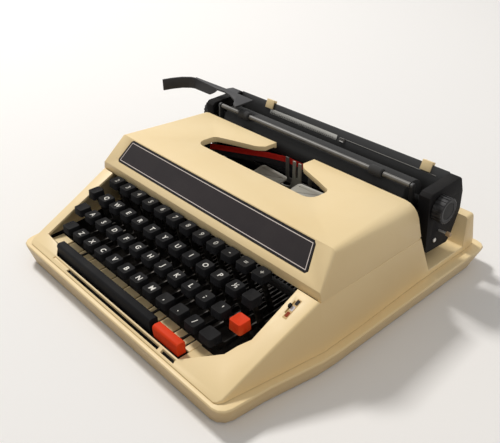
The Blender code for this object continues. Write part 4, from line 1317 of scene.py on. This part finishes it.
@dataclass
class Carriage:
    """The carriage, its platen and knobs, the paper table with its scale, the bail and the return lever."""

    bail: tuple[float, float] = (240.7, 100.5)
    bail_sleeves: tuple[tuple[float, float], ...] = ((-124.5, -96.0), (-80.0, 80.0), (96.0, 124.5))
    platen: tuple[float, float] = (252.0, 84.0)
    knob_radius: float = 11.6
    knob_start: float = 148.9
    knob_end: float = 157.9
    knob_sides: int = 40
    knob_rib: float = 0.55
    knob_rings: tuple[tuple[float, float], ...] = (
        (1.1, 0.5), (2.4, -0.2), (0.8, -1.2), (2.6, 0.0), (0.5, 0.6)
    )
    sleeve_radius: float = 2.3
    scale_ends: tuple[float, float] = (-87.5, 9.0)
    scale_low: tuple[float, float] = (276.7, 91.9)
    scale_high: tuple[float, float] = (278.8, 96.9)
    rule_ends: tuple[float, float] = (20.0, 126.0)
    clip_ends: tuple[float, float] = (13.0, 19.5)
    tick_gap: float = 2.54
    tick_wide: float = 0.35
    blade_ends: tuple[float, float] = (-191.0, -143.0)
    blade_y: float = 254.2
    blade_low: float = 110.0
    blade_top: float = 111.9
    blade_depth: float = 13.0
    blade_thick: float = 1.5
    neck: float = -149.0
    neck_run: float = 14.0
    plate_face: float = 147.6
    plate_screw: tuple[float, float] = (252.5, 50.0)
    bail_pivot: Triple = (128.2, 243.5, 70.0)
    release: tuple[float, float] = (258.6, 57.6)
    release_x: tuple[float, float] = (147.5, 156.2)

    def sleeves(self) -> list[Piece]:
        """The bright sleeves on the bail's rod, between its rollers."""
        made = []
        for i, (low, high) in enumerate(self.bail_sleeves):
            start, radius = (low, *self.bail), self.sleeve_radius
            bench = Bench.drum(f"bail_sleeve_{i + 1}", start, "X", high - low, radius, 24)
            bench.ends().inset(0.3).inset(0.2, -0.4)
            made.append(bench.done())
        return made

    def knob(self, side: int) -> Piece:
        """A ribbed knob on the platen's shaft.

        Args:
            side: -1 for the left one, 1 for the right one.

        Returns:
            The knob, over the plain one of the model.
        """
        start = self.knob_start if side > 0 else -self.knob_end
        length = self.knob_end - self.knob_start
        name = "knob_right" if side > 0 else "knob_left"
        bench = Bench.drum(name, (start, *self.platen), "X", length, self.knob_radius, self.knob_sides)
        y, z = self.platen

        def rib(middle: Vector, normal: Vector) -> bool:
            """Whether a side face stands out as a rib."""
            turn = math.degrees(math.atan2(middle.z - z, middle.y - y)) % 360
            return abs(normal.x) < 0.1 and int(turn * self.knob_sides / 360) % 2 == 0

        bench.pick("FACE", rib)
        bpy.ops.mesh.extrude_faces_move(TRANSFORM_OT_shrink_fatten={"value": self.knob_rib})

        def hub(middle: Vector, normal: Vector) -> bool:
            """Whether a face is the middle of the outer end."""
            return normal.x * side > 0.9 and math.dist(middle.yz, self.platen) < 1

        bench.pick("FACE", hub)
        for ring in self.knob_rings:
            bench.inset(*ring)
        return bench.done(smooth=24)

    def scale(self) -> list[Piece]:
        """The silvery strip with its ticks on the paper table, the rule beside it, the clip between."""
        low, high = self.scale_low, self.scale_high
        place = METRES @ on_slope((0, *low), (0, high[0] - low[0], high[1] - low[1]))
        height = math.dist(low, high)
        start, end = self.scale_ends
        strip = Bench.box("paper_scale", (start, 0, 0.15), (end, height, 0.55))
        strip.pick("EDGE", lambda middle, way: middle.z > 0.5).bevel(0.15, 2)
        strip = strip.done(place=place)
        SILVER_PRINT.on(strip)
        left = start + 2
        right = left + self.tick_wide
        ticks = Bench.box("paper_scale_ticks", (left, 0.5, 0.5), (right, height * 0.45, 0.62))
        ticks.modifier("ARRAY", count=int((end - start - 4) / self.tick_gap), use_relative_offset=False,
                       use_constant_offset=True, constant_offset_displace=(self.tick_gap, 0, 0))
        ticks = ticks.done(place=place)
        BORDER.on(ticks)
        (first, last), (low_x, high_x) = self.rule_ends, self.clip_ends
        rule = Bench.drum("paper_table_rule", (first, height * 0.75, 0.4), "X", last - first, 0.45, 12)
        rule.facing(1, 0, 0).inset(0.1)
        rule = rule.done(place=place)
        clip = Bench.box("paper_scale_clip", (low_x, 0.2, 0.2), (high_x, height * 0.85, 1.6))
        clip.facing(0, 0, 1).inset(0.6, 0.3).inset(0.7, -0.5)
        clip = clip.done(place=place)
        SATIN_STEEL.on(rule, clip)
        return [strip, ticks, rule, clip]

    def lever_blade(self) -> Piece:
        """The lever's turned-down edge, deep at the blade and shallow where the flat arm begins."""
        (start, end), y, low, top = self.blade_ends, self.blade_y, self.blade_low, self.blade_top
        bench = Bench.sheet("lever_blade", [(start, y, low), (end, y, low), (end, y, top), (start, y, top)])
        bench.pick("FACE", lambda middle, normal: True).subdivide(23)
        least = top - low

        def hang(corner: Vector) -> Triple:
            """Where a place of the plain strip goes."""
            share = min(1.0, max(0.0, self.neck - corner.x) / self.neck_run)
            depth = least + (self.blade_depth - least) * share ** 0.6
            return (corner.x, corner.y, top - (top - corner.z) / least * depth)

        bench.shape(hang)
        bench.modifier("SOLIDIFY", thickness=self.blade_thick, offset=0.0)
        bench.modifier("BEVEL", width=0.3, segments=2, limit_method="ANGLE", angle_limit=math.radians(50))
        return bench.done()

    def trim(self) -> list[Piece]:
        """The screws and the release pin on the end plates, and the caps of the bail's pivots."""
        made = []
        for side, name in ((-1, "left"), (1, "right")):
            foot = (self.plate_face * side, *self.plate_screw)
            screw = Bench.drum(f"plate_screw_{name}", foot, "X", 1.5 * side, 2.1, 20)
            made.append(screw.facing(side, 0, 0).inset(0.4, 0.25).inset(0.9, -0.1).done())
            x, y, z = self.bail_pivot
            cap = Bench.drum(f"bail_pivot_cap_{name}", (x * side, y, z), "X", 1.6 * side, 2.6, 20)
            made.append(cap.facing(side, 0, 0).inset(0.5, 0.3).done())
        pin_start, tip_start = self.release_x
        pin = Bench.drum("release_pin", (pin_start, *self.release), "X", 9.0, 1.1, 16)
        made.append(pin.facing(1, 0, 0).inset(0.2, 0.3).done())
        STEEL.on(*made)
        tip = Bench.drum("release_pin_tip", (tip_start, *self.release), "X", 3.4, 2.2, 20)
        tip = tip.ends().inset(0.5, 0.5).done()
        TIP.on(tip)
        return [*made, tip]

    def build(self) -> None:
        """Dress the carriage."""
        dress((
            ("carriage_frame", 0.9, CRINKLE, "black_enamel", "carriage"),
            ("paper_table", 0.3, ENAMEL, "black_enamel", "carriage"),
            ("platen", 0.4, RUBBER, "platen_rubber", "platen"),
            ("paper_bail", 0.4, ENAMEL, "black_enamel", "paper_bail"),
            ("bail_roller_left", 0.3, RUBBER, "platen_rubber", "bail_roller_left"),
            ("bail_roller_right", 0.3, RUBBER, "platen_rubber", "bail_roller_right"),
            ("return_lever", 0.5, LEVER_BLACK, "black_enamel", "return_lever"),
            ("margin_stop_left", 0.4, CREAM, "cream_plastic", "margin_stop_left"),
            ("margin_stop_right", 0.4, CREAM, "cream_plastic", "margin_stop_right"),
        ))
        sleeves = self.sleeves()
        SATIN_STEEL.on(*sleeves)
        knobs = [self.knob(side) for side in (-1, 1)]
        KNOB.on(*knobs)
        blade = self.lever_blade()
        LEVER_BLACK.on(blade)
        belong(sleeves, "paper_bail")
        belong(knobs, "platen")
        belong([blade], "return_lever")
        belong([*self.scale(), *self.trim()], "carriage")
        LOG.info("carriage dressed")


def main() -> None:
    """Build the typewriter's looks over the model, piece by piece."""
    logging.basicConfig(level=logging.INFO, format="%(name)s: %(message)s")
    for assembly in (Studio(), Shell(), Hood(), Keyboard(), TypeWorks(), Carriage()):
        assembly.build()
    Bench.clear()


if __name__ == "__main__":
    main()
